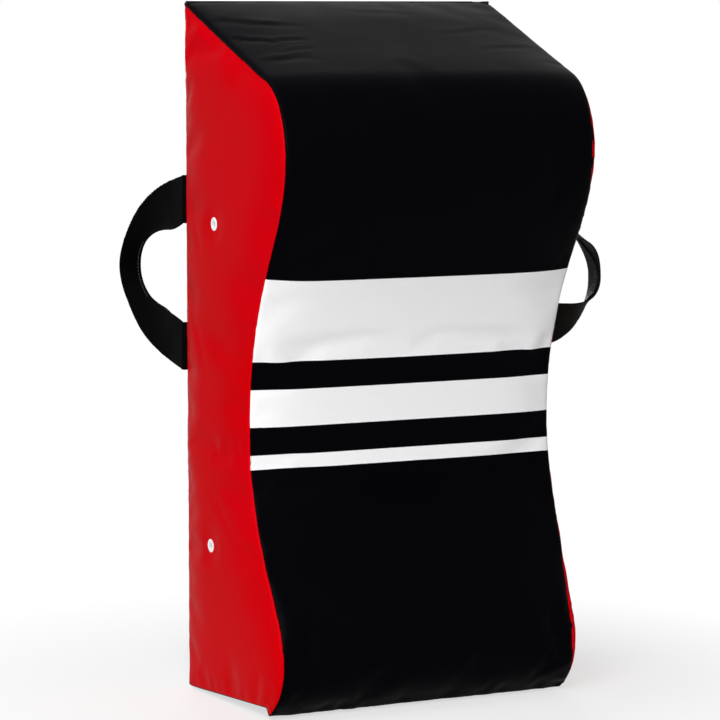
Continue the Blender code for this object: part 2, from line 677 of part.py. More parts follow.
def make_slider(metal):
    """A channel that runs over the teeth, with a bridge that carries the pull."""
    inside = TOOTH_ROOT + TOOTH_STRIP + RUNNING_GAP
    foot = SEAM_GAP - TOOTH_THICKNESS - RUNNING_GAP
    stations = (
        (-1, SLIDER_FLARE, SLIDER_NOSE_SHARE),
        (-SLIDER_FLARE_SHARE, SLIDER_FLARE, 1),
        (-SLIDER_TAPER_SHARE, 0, 1),
        (SLIDER_TAIL_SHARE, 0, 1),
        (1, 0, SLIDER_NOSE_SHARE),
    )
    rings = []
    for along_share, flare, height_share in stations:
        outside = inside + SLIDER_FLANGE + flare
        top = SLIDER_PLATE * height_share
        bevel = SLIDER_PLATE / 2
        section = (
            (inside, foot), (outside, foot), (outside, top - bevel), (outside - bevel, top),
            (bevel - outside, top), (-outside, top - bevel), (-outside, foot), (-inside, foot),
            (-inside, 0), (inside, 0),
        )
        rings.append([Vector((along_share * SLIDER_LENGTH / 2, out, across)) for across, out in section])
    slider = lofted("zip_slider", rings, metal)
    slider.location = slider_place()
    middle = bridge_axis().y - slider_place().y
    top, under = middle + BRIDGE_BAR / 2, middle - BRIDGE_BAR / 2
    foot = SLIDER_PLATE - BRIDGE_SINK
    end, inner = BRIDGE_LENGTH / 2, BRIDGE_LENGTH / 2 - BRIDGE_BAR
    arch = (
        (-end, foot), (-inner, foot), (-inner, under), (inner, under), (inner, foot), (end, foot),
        (end, under), (inner, top), (-inner, top), (-end, under),
    )
    shape = [slider_place() + Vector((along, out, -BRIDGE_BAR / 2)) for along, out in arch]
    bridge = extruded("zip_slider_bridge", shape, Vector((0, 0, BRIDGE_BAR)), metal)
    combine(slider, make_helper(bridge), "UNION")


def make_pull(metal):
    """A tab that hangs from a rolled barrel round the bridge bar."""
    bore = BRIDGE_BAR / math.sqrt(2) + RUNNING_GAP
    barrel = bore + BARREL_WALL
    tip = PULL_WIDTH / 2
    neck = PULL_HEAD_WIDTH / 2
    chamfer = PULL_WIDTH / 4
    outline = (
        (-neck, -bore), (neck, -bore), (tip, chamfer - PULL_LENGTH), (tip - chamfer, -PULL_LENGTH),
        (chamfer - tip, -PULL_LENGTH), (-tip, chamfer - PULL_LENGTH),
    )
    shape = [(across, -PULL_THICKNESS / 2, up) for across, up in outline]
    pull = extruded("zip_pull", shape, Vector((0, PULL_THICKNESS, 0)), metal)
    pull.location = bridge_axis()
    head = rod("zip_pull_barrel", bridge_axis(), PULL_HEAD_WIDTH, barrel, metal)
    eye = rod("zip_pull_bore", bridge_axis(), BRIDGE_LENGTH, bore, metal)
    combine(pull, make_helper(head), "UNION")
    combine(pull, make_helper(eye), "DIFFERENCE")


def main():
    clear_scene()
    black = finish("black_vinyl", (0.006, 0.006, 0.008), 0.35)
    red = finish("red_vinyl", (0.60, 0.0, 0.003), 0.38)
    soft = finish("soft_foam", (0.05, 0.05, 0.06), 0.95)
    firm = finish("firm_foam", (0.55, 0.55, 0.52), 0.9)
    webbing = finish("black_webbing", (0.008, 0.008, 0.009), 0.8)
    patch_cloth = finish("patch_vinyl", (0.008, 0.008, 0.009), 0.5)
    nickel = finish("nickel", (0.75, 0.74, 0.72), 0.3, 1.0)
    tape_cloth = finish("zip_tape", (0.01, 0.01, 0.01), 0.85)
    teeth_plastic = finish("zip_teeth", (0.012, 0.012, 0.013), 0.4)
    zip_metal = finish("black_nickel", (0.06, 0.06, 0.065), 0.35, 1.0)
    make_cover(black, red)
    make_foam(soft, firm)
    make_vents(nickel)
    make_hand_loops(webbing)
    make_strap_anchors(webbing, patch_cloth)
    make_zip(tape_cloth, teeth_plastic, zip_metal)


main()
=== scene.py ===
# %% [markdown]
# # Tackle shield
# A tackle shield is a block of foam in a sewn cover of glossy coated cloth. A player stands behind it with
# a hand through each webbing loop, and others run into its front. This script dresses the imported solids:
# it keeps what is rigid, such as the zip's teeth and slider, and it replaces what is soft, such as the
# cover and the webbing, with cloth that swells, creases and is stitched.

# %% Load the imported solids
import json
import math

import bmesh
import bpy
import numpy as np
from mathutils import Matrix, Vector
from mathutils.geometry import interpolate_bezier

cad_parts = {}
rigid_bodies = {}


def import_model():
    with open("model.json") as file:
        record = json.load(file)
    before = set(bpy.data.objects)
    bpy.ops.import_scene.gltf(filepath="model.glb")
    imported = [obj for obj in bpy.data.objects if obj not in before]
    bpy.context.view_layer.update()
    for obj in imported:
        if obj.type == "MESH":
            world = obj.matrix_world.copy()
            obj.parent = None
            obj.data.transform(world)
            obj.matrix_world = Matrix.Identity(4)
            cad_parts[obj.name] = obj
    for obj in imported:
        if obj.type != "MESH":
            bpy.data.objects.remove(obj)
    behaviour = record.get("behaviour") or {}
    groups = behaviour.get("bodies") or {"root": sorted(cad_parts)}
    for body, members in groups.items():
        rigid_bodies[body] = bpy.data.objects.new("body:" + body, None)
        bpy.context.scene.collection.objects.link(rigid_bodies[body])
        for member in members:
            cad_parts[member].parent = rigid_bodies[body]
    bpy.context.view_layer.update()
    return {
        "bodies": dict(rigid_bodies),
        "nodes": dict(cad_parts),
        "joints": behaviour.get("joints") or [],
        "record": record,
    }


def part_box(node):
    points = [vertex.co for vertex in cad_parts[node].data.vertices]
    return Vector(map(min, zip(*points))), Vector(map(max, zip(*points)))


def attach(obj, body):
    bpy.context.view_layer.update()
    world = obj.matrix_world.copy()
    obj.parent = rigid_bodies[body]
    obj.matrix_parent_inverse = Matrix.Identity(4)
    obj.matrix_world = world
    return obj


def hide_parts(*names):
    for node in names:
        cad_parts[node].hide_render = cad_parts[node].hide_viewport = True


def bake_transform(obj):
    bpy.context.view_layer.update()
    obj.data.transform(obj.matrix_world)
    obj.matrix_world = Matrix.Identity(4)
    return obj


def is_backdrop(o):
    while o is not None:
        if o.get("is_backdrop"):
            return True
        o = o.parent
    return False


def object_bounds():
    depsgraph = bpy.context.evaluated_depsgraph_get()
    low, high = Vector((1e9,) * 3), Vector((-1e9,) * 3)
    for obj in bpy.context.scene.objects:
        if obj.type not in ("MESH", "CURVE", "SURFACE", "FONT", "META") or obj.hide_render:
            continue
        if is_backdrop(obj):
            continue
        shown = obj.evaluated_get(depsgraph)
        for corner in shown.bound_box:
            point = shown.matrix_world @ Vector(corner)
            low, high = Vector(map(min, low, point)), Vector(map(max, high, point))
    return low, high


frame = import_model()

# %% [markdown]
# ## The camera
# The photograph was taken with a long lens from the shield's left front, a little above its middle. The
# camera's matrix is built from three angles: how far it turns, how far it looks down and how far it leans.
# Written this way, each angle can be read and changed, which a ready-made matrix doesn't allow.

# %% Camera
CAMERA_TURN = math.radians(28.443)
CAMERA_DOWN = math.radians(6.488)
CAMERA_LEAN = math.radians(0.473)
CAMERA_PLACE = Vector((-1.85434, -3.38100, 0.80146))
CAMERA_LENS = 178.08


def camera_matrix(place, turn, down, lean):
    """Looks along +Y turned towards +X, then down, then leans about the line of sight."""
    forward = Vector((math.sin(turn) * math.cos(down), math.cos(turn) * math.cos(down), -math.sin(down)))
    level = Vector((math.cos(turn), -math.sin(turn), 0))
    above = level.cross(forward)
    right = level * math.cos(lean) + above * math.sin(lean)
    up = above * math.cos(lean) - level * math.sin(lean)
    return Matrix.Translation(place) @ Matrix((right, up, -forward)).transposed().to_4x4()


camera = bpy.data.objects.new("camera", bpy.data.cameras.new("camera"))
bpy.context.scene.collection.objects.link(camera)
camera.data.lens = CAMERA_LENS
camera.matrix_world = camera_matrix(CAMERA_PLACE, CAMERA_TURN, CAMERA_DOWN, CAMERA_LEAN)
bpy.context.scene.camera = camera
bpy.context.scene.view_settings.view_transform = "Standard"
print("camera is", round(CAMERA_PLACE.length, 2), "m from the base")

# %% [markdown]
# ## Materials
# A small helper keeps every material readable. It makes the shader, sets its plain numbers on its own
# sockets, and gives short names to the nodes that this shield's finishes use: noise for dents and grain,
# waves for weaves, and bump to turn either into relief.


# %% A helper for finishes
def add_node(tree, kind, settings=None, **inputs):
    """A new node. An input is named, or numbered as i0, and takes a value or another node's output."""
    made = tree.nodes.new(kind)
    for key, value in (settings or {}).items():
        setattr(made, key, value)
    for key, value in inputs.items():
        place = made.inputs[int(key[1:])] if key[1:].isdigit() else made.inputs[key.replace("_", " ")]
        if isinstance(value, bpy.types.NodeSocket):
            tree.links.new(value, place)
        else:
            place.default_value = value
    return made


class Finish:
    """A material with one Principled BSDF, and short ways to add nodes and links."""

    def __init__(self, name, colour, roughness, metallic=0.0, **sockets):
        self.material = bpy.data.materials.new(name)
        self.material.use_nodes = True
        self.tree = self.material.node_tree
        self.shader = self.tree.nodes["Principled BSDF"]
        self.shader.inputs["Base Color"].default_value = (*colour, 1)
        self.shader.inputs["Roughness"].default_value = roughness
        self.shader.inputs["Metallic"].default_value = metallic
        for socket, value in sockets.items():
            self.shader.inputs[socket.replace("_", " ")].default_value = value

    def node(self, kind, settings=None, **inputs):
        return add_node(self.tree, kind, settings, **inputs)

    def noise(self, where, scale, detail=3.0, roughness=0.5):
        made = self.node("ShaderNodeTexNoise", Vector=where, Scale=scale, Detail=detail, Roughness=roughness)
        return made.outputs[0]

    def calc(self, operation, first, second=0.0, third=0.0):
        return self.node("ShaderNodeMath", {"operation": operation}, i0=first, i1=second, i2=third).outputs[0]

    def spread(self, value, low, high, to_low, to_high):
        """Maps a number from one range to another, clamped."""
        made = self.node("ShaderNodeMapRange", i0=value, i1=low, i2=high, i3=to_low, i4=to_high)
        return made.outputs[0]

    def mix(self, share, first, second):
        """A mix of two colours."""
        made = self.node("ShaderNodeMix", {"data_type": "RGBA"}, i0=share, i6=first, i7=second)
        return made.outputs[2]

    def bump(self, height, distance, strength=1.0, below=None):
        made = self.node("ShaderNodeBump", Height=height, Distance=distance, Strength=strength)
        if below is not None:
            self.tree.links.new(below, made.inputs["Normal"])
        return made.outputs[0]

    def put(self, value, socket):
        self.tree.links.new(value, self.shader.inputs[socket])

    def place(self):
        return self.node("ShaderNodeTexCoord").outputs["Object"]

    def pattern(self):
        """The piece's own flat pattern, in metres: across the cloth and along it."""
        return self.node("ShaderNodeSeparateXYZ", i0=self.node("ShaderNodeUVMap").outputs[0]).outputs


# %% [markdown]
# ## Coated cloth
# The cover is woven polyester under a glossy layer of vinyl. Close up, the threads below print through as
# a faint grid and the vinyl has a fine orange-peel grain. Over a hand's width it has soft dents where the
# foam behind it gives. All of that is bump, at three scales. Handled vinyl isn't equally shiny all over,
# so the roughness drifts, and the colour drifts a little with it.

# %% The layers of coated cloth
THREAD_PITCH = 0.0011
THREAD_RELIEF = 0.000012
GRAIN_SCALE, GRAIN_RELIEF = 850, 0.00005
DENT_SCALE, DENT_RELIEF = 26, 0.0007
WEAR_SCALE = 6


def vinyl(name, colour, worn, roughness, **sockets):
    finish = Finish(name, colour, roughness, **sockets)
    where = finish.place()
    grain = finish.noise(where, GRAIN_SCALE, 2)
    dents = finish.noise(where, DENT_SCALE, 2, 0.4)
    drift = finish.noise(where, WEAR_SCALE, 4, 0.6)
    finish.put(finish.mix(finish.spread(drift, 0.35, 0.7, 0, 1), (*colour, 1), (*worn, 1)), "Base Color")
    finish.put(finish.spread(drift, 0.3, 0.7, roughness - 0.04, roughness + 0.08), "Roughness")
    across, along, _ = finish.pattern()
    turn = 2 * math.pi / THREAD_PITCH
    weft = finish.calc("SINE", finish.calc("MULTIPLY", across, turn))
    warp = finish.calc("SINE", finish.calc("MULTIPLY", along, turn))
    soft = finish.bump(dents, DENT_RELIEF, 0.45)
    printed_through = finish.bump(finish.calc("MULTIPLY", weft, warp), THREAD_RELIEF, 0.6, soft)
    finish.put(finish.bump(grain, GRAIN_RELIEF, 0.5, printed_through), "Normal")
    return finish


# %% [markdown]
# Each vinyl has a fresh colour, a worn colour and a roughness. The photograph's black front stays almost
# pure black although everything round it is white, so the front and the sides get a very low specular
# level. The back, the base and the patches aren't seen there, and get more of it.

# %% Vinyl finishes
BLACK, BLACK_WORN = (0.0008, 0.0008, 0.0014), (0.0012, 0.0012, 0.0021)
FRONT_GLOSS = 0.012
red_vinyl = vinyl("red_vinyl", (0.565, 0.0, 0.002), (0.590, 0.0003, 0.005), 0.34,
                  Specular_IOR_Level=FRONT_GLOSS)
black_vinyl = vinyl("black_vinyl", (0.014, 0.014, 0.016), (0.021, 0.021, 0.023), 0.36,
                    Specular_IOR_Level=0.12)
patch_vinyl = vinyl("patch_vinyl", (0.022, 0.022, 0.024), (0.030, 0.030, 0.032), 0.46,
                    Specular_IOR_Level=0.15)
print("vinyl finishes:", red_vinyl.material.name, black_vinyl.material.name, patch_vinyl.material.name)

# %% [markdown]
# ## Webbing, foam, metal and tape
# Webbing is a heavy twill: thick threads side by side, each crossed by slanting picks, with a firm edge.
# Waves across the strap's own pattern give the threads, and a second set of waves at a slant gives the
# picks. The gaps between the threads are painted darker than the thread tops, a painted shade in the
# weave's hollows, which is what makes a weave readable on black.


# %% Woven finishes
FUZZ_SCALE, FUZZ_RELIEF = 1500, 0.00008
PICK_DEPTH = 0.35


def woven(name, colour, gap_shade, roughness, thread, pick, relief, **sockets):
    finish = Finish(name, colour, roughness, **sockets)
    across, along, _ = finish.pattern()
    turned = finish.calc("MULTIPLY", across, math.pi / thread)
    threads = finish.calc("ABSOLUTE", finish.calc("SINE", turned))
    slant = finish.calc("ADD", turned, finish.calc("MULTIPLY", along, math.pi / pick))
    picks = finish.calc("ABSOLUTE", finish.calc("SINE", slant))
    rounded, crossed = finish.calc("POWER", threads, 0.5), finish.spread(picks, 0, 1, PICK_DEPTH, 1)
    height = finish.calc("MULTIPLY", rounded, crossed)
    fuzz = finish.noise(finish.place(), FUZZ_SCALE, 3, 0.7)
    shade = finish.calc("MULTIPLY", height, finish.spread(fuzz, 0.3, 0.7, 0.7, 1.15))
    tops = finish.spread(shade, 0.25, 0.95, 0, 1)
    # Painted shade: the gaps get the darker gap colour and the thread tops the paler one.
    finish.put(finish.mix(tops, (*gap_shade, 1), (*colour, 1)), "Base Color")
    finish.put(finish.spread(fuzz, 0.3, 0.7, roughness - 0.08, roughness + 0.08), "Roughness")
    finish.put(finish.bump(fuzz, FUZZ_RELIEF, 0.4, finish.bump(height, relief, 1.0)), "Normal")
    return finish


WEBBING_WEAVE = {"roughness": 0.62, "thread": 0.0019, "pick": 0.0023, "relief": 0.00035}
webbing = {
    "left": woven("black_webbing", (0.0024, 0.0024, 0.0023), (0.0006, 0.0006, 0.0006), **WEBBING_WEAVE,
                  Specular_IOR_Level=0.01, Sheen_Weight=0.005, Sheen_Roughness=0.4),
    # The right loop's webbing is painted paler than the left's, a painted sheen for the light its face
    # catches. Both loops are the same black webbing.
    "right": woven("sheen_painted_webbing", (0.017, 0.017, 0.015), (0.0012, 0.0012, 0.0012), **WEBBING_WEAVE,
                   Specular_IOR_Level=0.03, Sheen_Weight=0.03, Sheen_Roughness=0.4),
}
tape_cloth = woven("zip_tape", (0.010, 0.010, 0.010), (0.002, 0.002, 0.002), 0.8, 0.0007, 0.0009, 0.00012)
print("woven finishes:", [finish.material.name for finish in (*webbing.values(), tape_cloth)])

# %% [markdown]
# Foam shows its open cells, plated metal a fine brush and a little tarnish, and moulded plastic and waxed
# thread a faint matt grain. Each is one noise or cell texture that drives both colour and relief. The
# vents' plating is dull with handling, so it is a mix of metal and pale oxide.

# %% Foam, metal and plastic finishes
STAIN_SCALE = 260
BRUSH_SCALE, BRUSH_RELIEF = 3800, 0.00002
MATT_SCALE, MATT_RELIEF = 2200, 0.00003


def foam(name, colour, dark, cell):
    """Open cells: small rounded pits between thin walls, the pits painted darker as a painted shade."""
    finish = Finish(name, colour, 0.95)
    cells = finish.node("ShaderNodeTexVoronoi", Vector=finish.place(), Scale=1 / cell).outputs[0]
    # Painted shade: the dark colour fills the pits and the paler one the walls.
    finish.put(finish.mix(finish.spread(cells, 0.1, 0.7, 0, 1), (*dark, 1), (*colour, 1)), "Base Color")
    finish.put(finish.bump(cells, cell / 3, 0.8), "Normal")
    return finish


def metal(name, colour, tarnish, roughness, metallic=1.0):
    """Plated metal with a fine random brush and a little tarnish."""
    finish = Finish(name, colour, roughness, metallic)
    stain = finish.noise(finish.place(), STAIN_SCALE, 4, 0.6)
    finish.put(finish.mix(finish.spread(stain, 0.5, 0.8, 0, 1), (*colour, 1), (*tarnish, 1)), "Base Color")
    finish.put(finish.spread(stain, 0.3, 0.8, roughness - 0.05, roughness + 0.15), "Roughness")
    finish.put(finish.bump(finish.noise(finish.place(), BRUSH_SCALE, 2), BRUSH_RELIEF, 0.35), "Normal")
    return finish


def grained(name, colour, pale, roughness):
    """Moulded plastic or waxed thread: a faint matt grain, its raised tops painted a little paler, a painted
    highlight.
    """
    finish = Finish(name, colour, roughness)
    grain = finish.noise(finish.place(), MATT_SCALE, 3)
    # Painted highlight: the grain's raised tops get the paler colour.
    finish.put(finish.mix(finish.spread(grain, 0.4, 0.75, 0, 1), (*colour, 1), (*pale, 1)), "Base Color")
    finish.put(finish.bump(grain, MATT_RELIEF, 0.4), "Normal")
    return finish


soft_foam = foam("soft_foam", (0.44, 0.48, 0.55), (0.20, 0.22, 0.27), 0.0016)
firm_foam = foam("firm_foam", (0.52, 0.52, 0.49), (0.30, 0.30, 0.28), 0.0011)
nickel = metal("nickel", (0.93, 0.93, 0.92), (0.72, 0.71, 0.69), 0.30, metallic=0.45)
zip_metal = metal("zip_metal", (0.10, 0.10, 0.105), (0.05, 0.05, 0.05), 0.30)
zip_plastic = grained("zip_teeth", (0.012, 0.012, 0.013), (0.022, 0.022, 0.023), 0.36)
thread_finish = grained("black_thread", (0.040, 0.040, 0.040), (0.070, 0.070, 0.070), 0.50)
print("finishes:", sorted(material.name for material in bpy.data.materials))

# %% [markdown]
# ## The side outline
# Everything about this shield follows from its side view: a sloping head, a full brow, a hollow waist and
# a bumper above the toe. The cover's maker cuts the two side panels to this line and wraps one long strip
# round it. The line is five curves between named places, measured forwards from the flat back and up from
# the floor, the same places as the solid's. The holds say over what length a curve keeps its direction
# at each place.

# %% The shield's measures
HEIGHT = 0.750
TOP_WIDTH = 0.378
BASE_WIDTH = 0.363
BACK_Y = 0.096
FLOOR_GAP = 0.0023
HEAD = Vector((0, HEIGHT, 0))
SHOULDER = Vector((0.190, 0.676, 0))
BROW = Vector((0.235, 0.594, 0))
WAIST = Vector((0.149, 0.298, 0))
BUMPER = Vector((0.224, 0.062, 0))
TOE = Vector((0.192, FLOOR_GAP, 0))
TOE_ANGLE = math.radians(35)
DOWN = Vector((0, -1, 0))
STEP = 0.009
CURVE_STEPS = 200
TOE_HOLD = 0.020
HOLDS = {"shoulder": 0.032, "above brow": 0.030, "below brow": 0.090, "above waist": 0.165,
         "below waist": 0.130, "above bumper": 0.061, "below bumper": 0.030}
print("the outline passes", [tuple(round(size, 4) for size in place.xy)
                             for place in (HEAD, SHOULDER, BROW, WAIST, BUMPER, TOE)])

# %% [markdown]
# Two helpers measure any line of points: how far along it each point lies, and which way is square to it
# there. The outline, the webbing and the stitches all use them.


# %% Side outline
def run_along(points):
    """Metres along a line of points, from its first one."""
    return np.concatenate([[0], np.cumsum(np.linalg.norm(np.diff(points, axis=0), axis=1))])


def square_to(points):
    """The unit normal of a flat line at each of its points, a quarter turn on from its direction."""
    tangent = np.gradient(points, axis=0)
    tangent /= np.linalg.norm(tangent, axis=1)[:, None]
    return np.stack([-tangent[:, 1], tangent[:, 0]], axis=1)


def side_outline(spacing):
    """Evenly spaced (depth, height) points from the back top edge to the toe, their normals and places."""
    slope = (SHOULDER - HEAD).normalized()
    rise = Vector((math.cos(TOE_ANGLE), math.sin(TOE_ANGLE), 0))
    spans = (
        (HEAD, HEAD.lerp(SHOULDER, 1 / 3), HEAD.lerp(SHOULDER, 2 / 3), SHOULDER),
        (SHOULDER, SHOULDER + slope * HOLDS["shoulder"], BROW - DOWN * HOLDS["above brow"], BROW),
        (BROW, BROW + DOWN * HOLDS["below brow"], WAIST - DOWN * HOLDS["above waist"], WAIST),
        (WAIST, WAIST + DOWN * HOLDS["below waist"], BUMPER - DOWN * HOLDS["above bumper"], BUMPER),
        (BUMPER, BUMPER + DOWN * HOLDS["below bumper"], TOE + rise * TOE_HOLD, TOE),
    )
    curves = [interpolate_bezier(*span, CURVE_STEPS)[1:] for span in spans]
    fine = np.array([HEAD] + [point for curve in curves for point in curve])[:, :2]
    run = run_along(fine)
    marks = np.linspace(0, run[-1], round(run[-1] / spacing) + 1)
    points = np.stack([np.interp(marks, run, fine[:, axis]) for axis in (0, 1)], axis=1)
    return points, square_to(points), marks


outline, outline_normals, marks = side_outline(STEP)
LENGTH = marks[-1]
CELLS_ALONG = len(marks) - 1
print("outline:", len(outline), "points,", round(LENGTH, 3), "m long")


def along_at(height):
    """How far along the strip a height lies, below the head."""
    front = marks > (SHOULDER - HEAD).length
    return float(np.interp(-height, -outline[front, 1], marks[front]))


# %% [markdown]
# ## The printed front
# White ink is pressed on the black strip as plain hoops that get thinner downwards. The print follows the
# cloth, so its place is read from the strip's flat pattern and not from space: it stays put on the cloth
# where that swells or creases. Ink is a little less glossy than the vinyl round it.

# %% Printed vinyl
HOOPS = ((0.465, 0.375), (0.345, 0.305), (0.275, 0.260))
INK, INK_WORN = (0.93, 0.93, 0.94, 1), (0.88, 0.88, 0.89, 1)
INK_WOBBLE = 0.0002
INK_ROUGHER = 0.12


def printed_vinyl():
    finish = vinyl("printed_vinyl", BLACK, BLACK_WORN, 0.31, Specular_IOR_Level=FRONT_GLOSS)
    grain = finish.noise(finish.place(), 1300, 3)
    wobble = finish.calc("ADD", finish.pattern()[1], finish.spread(grain, 0.2, 0.8, -INK_WOBBLE, INK_WOBBLE))
    ink = None
    for top, bottom in HOOPS:
        start, end = along_at(top), along_at(bottom)
        off_middle = finish.calc("ABSOLUTE", finish.calc("SUBTRACT", wobble, (start + end) / 2))
        hoop = finish.calc("LESS_THAN", off_middle, (end - start) / 2)
        ink = hoop if ink is None else finish.calc("MAXIMUM", ink, hoop)
    cloth = finish.shader.inputs["Base Color"].links[0].from_socket
    gloss = finish.shader.inputs["Roughness"].links[0].from_socket
    white = finish.mix(finish.spread(grain, 0.35, 0.7, 0, 1), INK, INK_WORN)
    finish.put(finish.mix(ink, cloth, white), "Base Color")
    finish.put(finish.calc("MULTIPLY_ADD", ink, INK_ROUGHER, gloss), "Roughness")
    return finish


front_vinyl = printed_vinyl()
print("hoops along the strip:", [[round(along_at(height), 3) for height in hoop] for hoop in HOOPS])

# %% [markdown]
# ## The cover, ready to be blown up
# Real padding fills its cover until the cloth is tight, and the cloth swells between its seams. A cloth
# simulation with air pressure does the same, so the cover is first laid out as five grids: the front
# strip, two sides, the back and the base. Every grid line meets its neighbour's at the seam, so the grids
# weld into one closed skin, and a panel can be read back along its exact seam line afterwards.

# %% How full each panel is
EDGE_CELL = 0.012
FRONT_CROWN = 0.0045
SIDE_CROWN = 0.0055
CROWN_RUN = 0.070
CELLS_ACROSS = 40
CELLS_THROUGH = 22
SLIM_CROWN, SLIM_BELOW, SLIM_RUN = 0.0030, 0.24, 0.12
TINY = 1e-6


def half_width(height):
    return (BASE_WIDTH + (TOP_WIDTH - BASE_WIDTH) * height / HEIGHT) / 2


def fullness(distance):
    """How full the padding is at a distance from a seam: nothing at the seam, 1 well away from it."""
    return np.sin(np.pi / 2 * np.clip(distance / CROWN_RUN, 0, 1))


def side_crown(side, height):
    """How far a side stands proud. The right one is slimmer towards its foot."""
    if side < 0:
        return SIDE_CROWN
    return SIDE_CROWN - SLIM_CROWN * float(np.clip((SLIM_BELOW - height) / SLIM_RUN, 0, 1))


END_FULLNESS = fullness(np.minimum(marks, LENGTH - marks))
print("crowns at the waist:", [round(side_crown(side, WAIST.y) * 1000, 1) for side in (-1, 1)], "mm")

# %% [markdown]
# A grid is an array of points in rows and columns. The front's rows run across, one for each mark of the
# outline. A side's rows run from the back edge forwards, and start and end with one cell that is square
# to its seam, so that the roll that is added later starts square to it too.


# %% Panel grids
def across_shares(width):
    """Shares from -1 to 1 across a strip, evenly spaced but for one narrow cell along each seam."""
    inner = np.linspace(-1, 1, CELLS_ACROSS - 1) * (1 - 2 * EDGE_CELL / width)
    return np.concatenate([[-1], inner, [1]])


def front_grid():
    rows = []
    for point, normal, full in zip(outline, outline_normals, END_FULLNESS):
        reach = half_width(point[1])
        shares = across_shares(2 * reach)
        swell = FRONT_CROWN * full * (1 - np.abs(shares) ** 6)
        depth, height = point[:, None] + normal[:, None] * swell
        rows.append(np.stack([shares * reach, BACK_Y - depth, height], axis=1))
    return np.array(rows)


def side_grid(side):
    """Rows from the back edge to the front seam."""
    back_heights = HEIGHT + (FLOOR_GAP - HEIGHT) * marks / LENGTH
    rows = []
    for point, normal, height, full in zip(outline, outline_normals, back_heights, END_FULLNESS):
        back = np.array((0, height))
        edge = min(EDGE_CELL, np.linalg.norm(point - back) / 3)
        start, end = back + (edge, 0), point - normal * edge
        middle = start + (end - start) * np.linspace(0, 1, CELLS_THROUGH - 1)[:, None]
        flat = np.concatenate([[back], middle, [point]])
        share = np.clip(flat[:, 0] / max(point[0], TINY), 0, 1)
        swell = side_crown(side, point[1]) * full * (1 - np.abs(2 * share - 1) ** 4)
        reach = half_width(flat[:, 1]) + swell
        rows.append(np.stack([side * reach, BACK_Y - flat[:, 0], flat[:, 1]], axis=1))
    return np.array(rows)


def flat_grid(left_edge, right_edge):
    """Straight rows between two matching edges."""
    rows = []
    for left, right in zip(left_edge, right_edge):
        share = (across_shares(right[0] - left[0]) + 1) / 2
        rows.append(left + (right - left) * share[:, None])
    return np.array(rows)


left_grid, right_grid = side_grid(-1), side_grid(1)
grids = {
    "front": front_grid(),
    "left": left_grid,
    "right": right_grid,
    "back": flat_grid(left_grid[:, 0], right_grid[:, 0]),
    "base": flat_grid(left_grid[-1], right_grid[-1]),
}
print("grid sizes:", {name: grid.shape[:2] for name, grid in grids.items()})

# %% [markdown]
# Two points that lie in the same place are one point of the skin. A dictionary from each rounded place to
# its number finds them, which keeps the seams exactly where they are. A tiny shift before rounding keeps
# places that lie exactly between two rounded numbers from falling either way.

# %% Weld the grids into one skin
FACE_TURNED = {"front": True, "left": True, "right": False, "back": False, "base": False}
OFF_TIES = 0.0000031
PLACE_DIGITS = 5


def weld(all_grids):
    """One list of points, and each grid as numbers into it."""
    points, known, numbers_of = [], {}, {}
    for name, grid in all_grids.items():
        numbers = np.zeros(grid.shape[:2], int)
        for place in np.ndindex(*grid.shape[:2]):
            key = tuple(np.round(grid[place] + OFF_TIES, PLACE_DIGITS))
            if key not in known:
                known[key] = len(points)
                points.append(grid[place])
            numbers[place] = known[key]
        numbers_of[name] = numbers
    return np.array(points), numbers_of


def quads(numbers, turned):
    """The faces of a grid of point numbers, facing outwards. A cell that has closed up is left out."""
    cells = np.stack([numbers[:-1, :-1], numbers[:-1, 1:], numbers[1:, 1:], numbers[1:, :-1]], axis=-1)
    faces = []
    for cell in cells.reshape(-1, 4).tolist():
        ring = list(dict.fromkeys(cell))
        if len(ring) > 2:
            faces.append(ring[::-1] if turned else ring)
    return faces


skin_points, numbers_of = weld(grids)
skin_faces = []
for name, numbers in numbers_of.items():
    skin_faces += quads(numbers, FACE_TURNED[name])
skin_mesh = bpy.data.meshes.new("skin")
skin_mesh.from_pydata(skin_points.tolist(), [], skin_faces)
maker = bmesh.new()
maker.from_mesh(skin_mesh)
open_edges = sum(not edge.is_manifold for edge in maker.edges)
print("skin:", len(skin_points), "points,", open_edges, "open edges,",
      round(maker.calc_volume(signed=True) * 1000, 1), "litres")
maker.free()

# %% [markdown]
# ## Blowing up the cover
# Air pressure pushes the cloth outwards while the seams and the base are held. So is the back wherever
# something is sewn to it: under the strap patches and along the zip. The cloth gets a little more width
# than it needs, so it can't stay quite smooth, and soft waves form across the faces.

# %% What holds the cloth
PATCH_LOW, PATCH_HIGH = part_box("right_strap_patch")
ZIP_HEIGHT = 0.078
ZIP_WINDOW = 0.014
HELD_MARGIN = 0.010
ZIP_MARGIN = 0.022


def sewn_down(points):
    """Which points of the back lie under a strap patch or beside the zip."""
    across, height = np.abs(points[..., 0]), points[..., 2]
    under_patch = (across > PATCH_LOW.x - HELD_MARGIN) & (height > PATCH_LOW.z - HELD_MARGIN)
    under_patch &= height < PATCH_HIGH.z + HELD_MARGIN
    return under_patch | (np.abs(height - ZIP_HEIGHT) < ZIP_MARGIN)


def edge_points(numbers):
    """The point numbers along the four edges of a grid."""
    edges = (numbers[0], numbers[-1], numbers[:, 0], numbers[:, -1])
    return {int(number) for edge in edges for number in edge}


def held_points():
    back = numbers_of["back"]
    held = set(numbers_of["base"].ravel()) | set(back[sewn_down(skin_points[back])])
    for numbers in numbers_of.values():
        held |= edge_points(numbers)
    return [int(number) for number in held]


print("held:", len(held_points()), "of", len(skin_points), "points")

# %% [markdown]
# The stiffness suits a heavy coated cloth, and gravity is off because the foam carries the cover. Twenty
# frames are enough for the waves to settle. The simulated object is only read and then removed: its
# points' places go on into the panels.

# %% Simulate the cloth
PRESSURE = 3.0
EXTRA_CLOTH = 0.006
FRAMES = 20


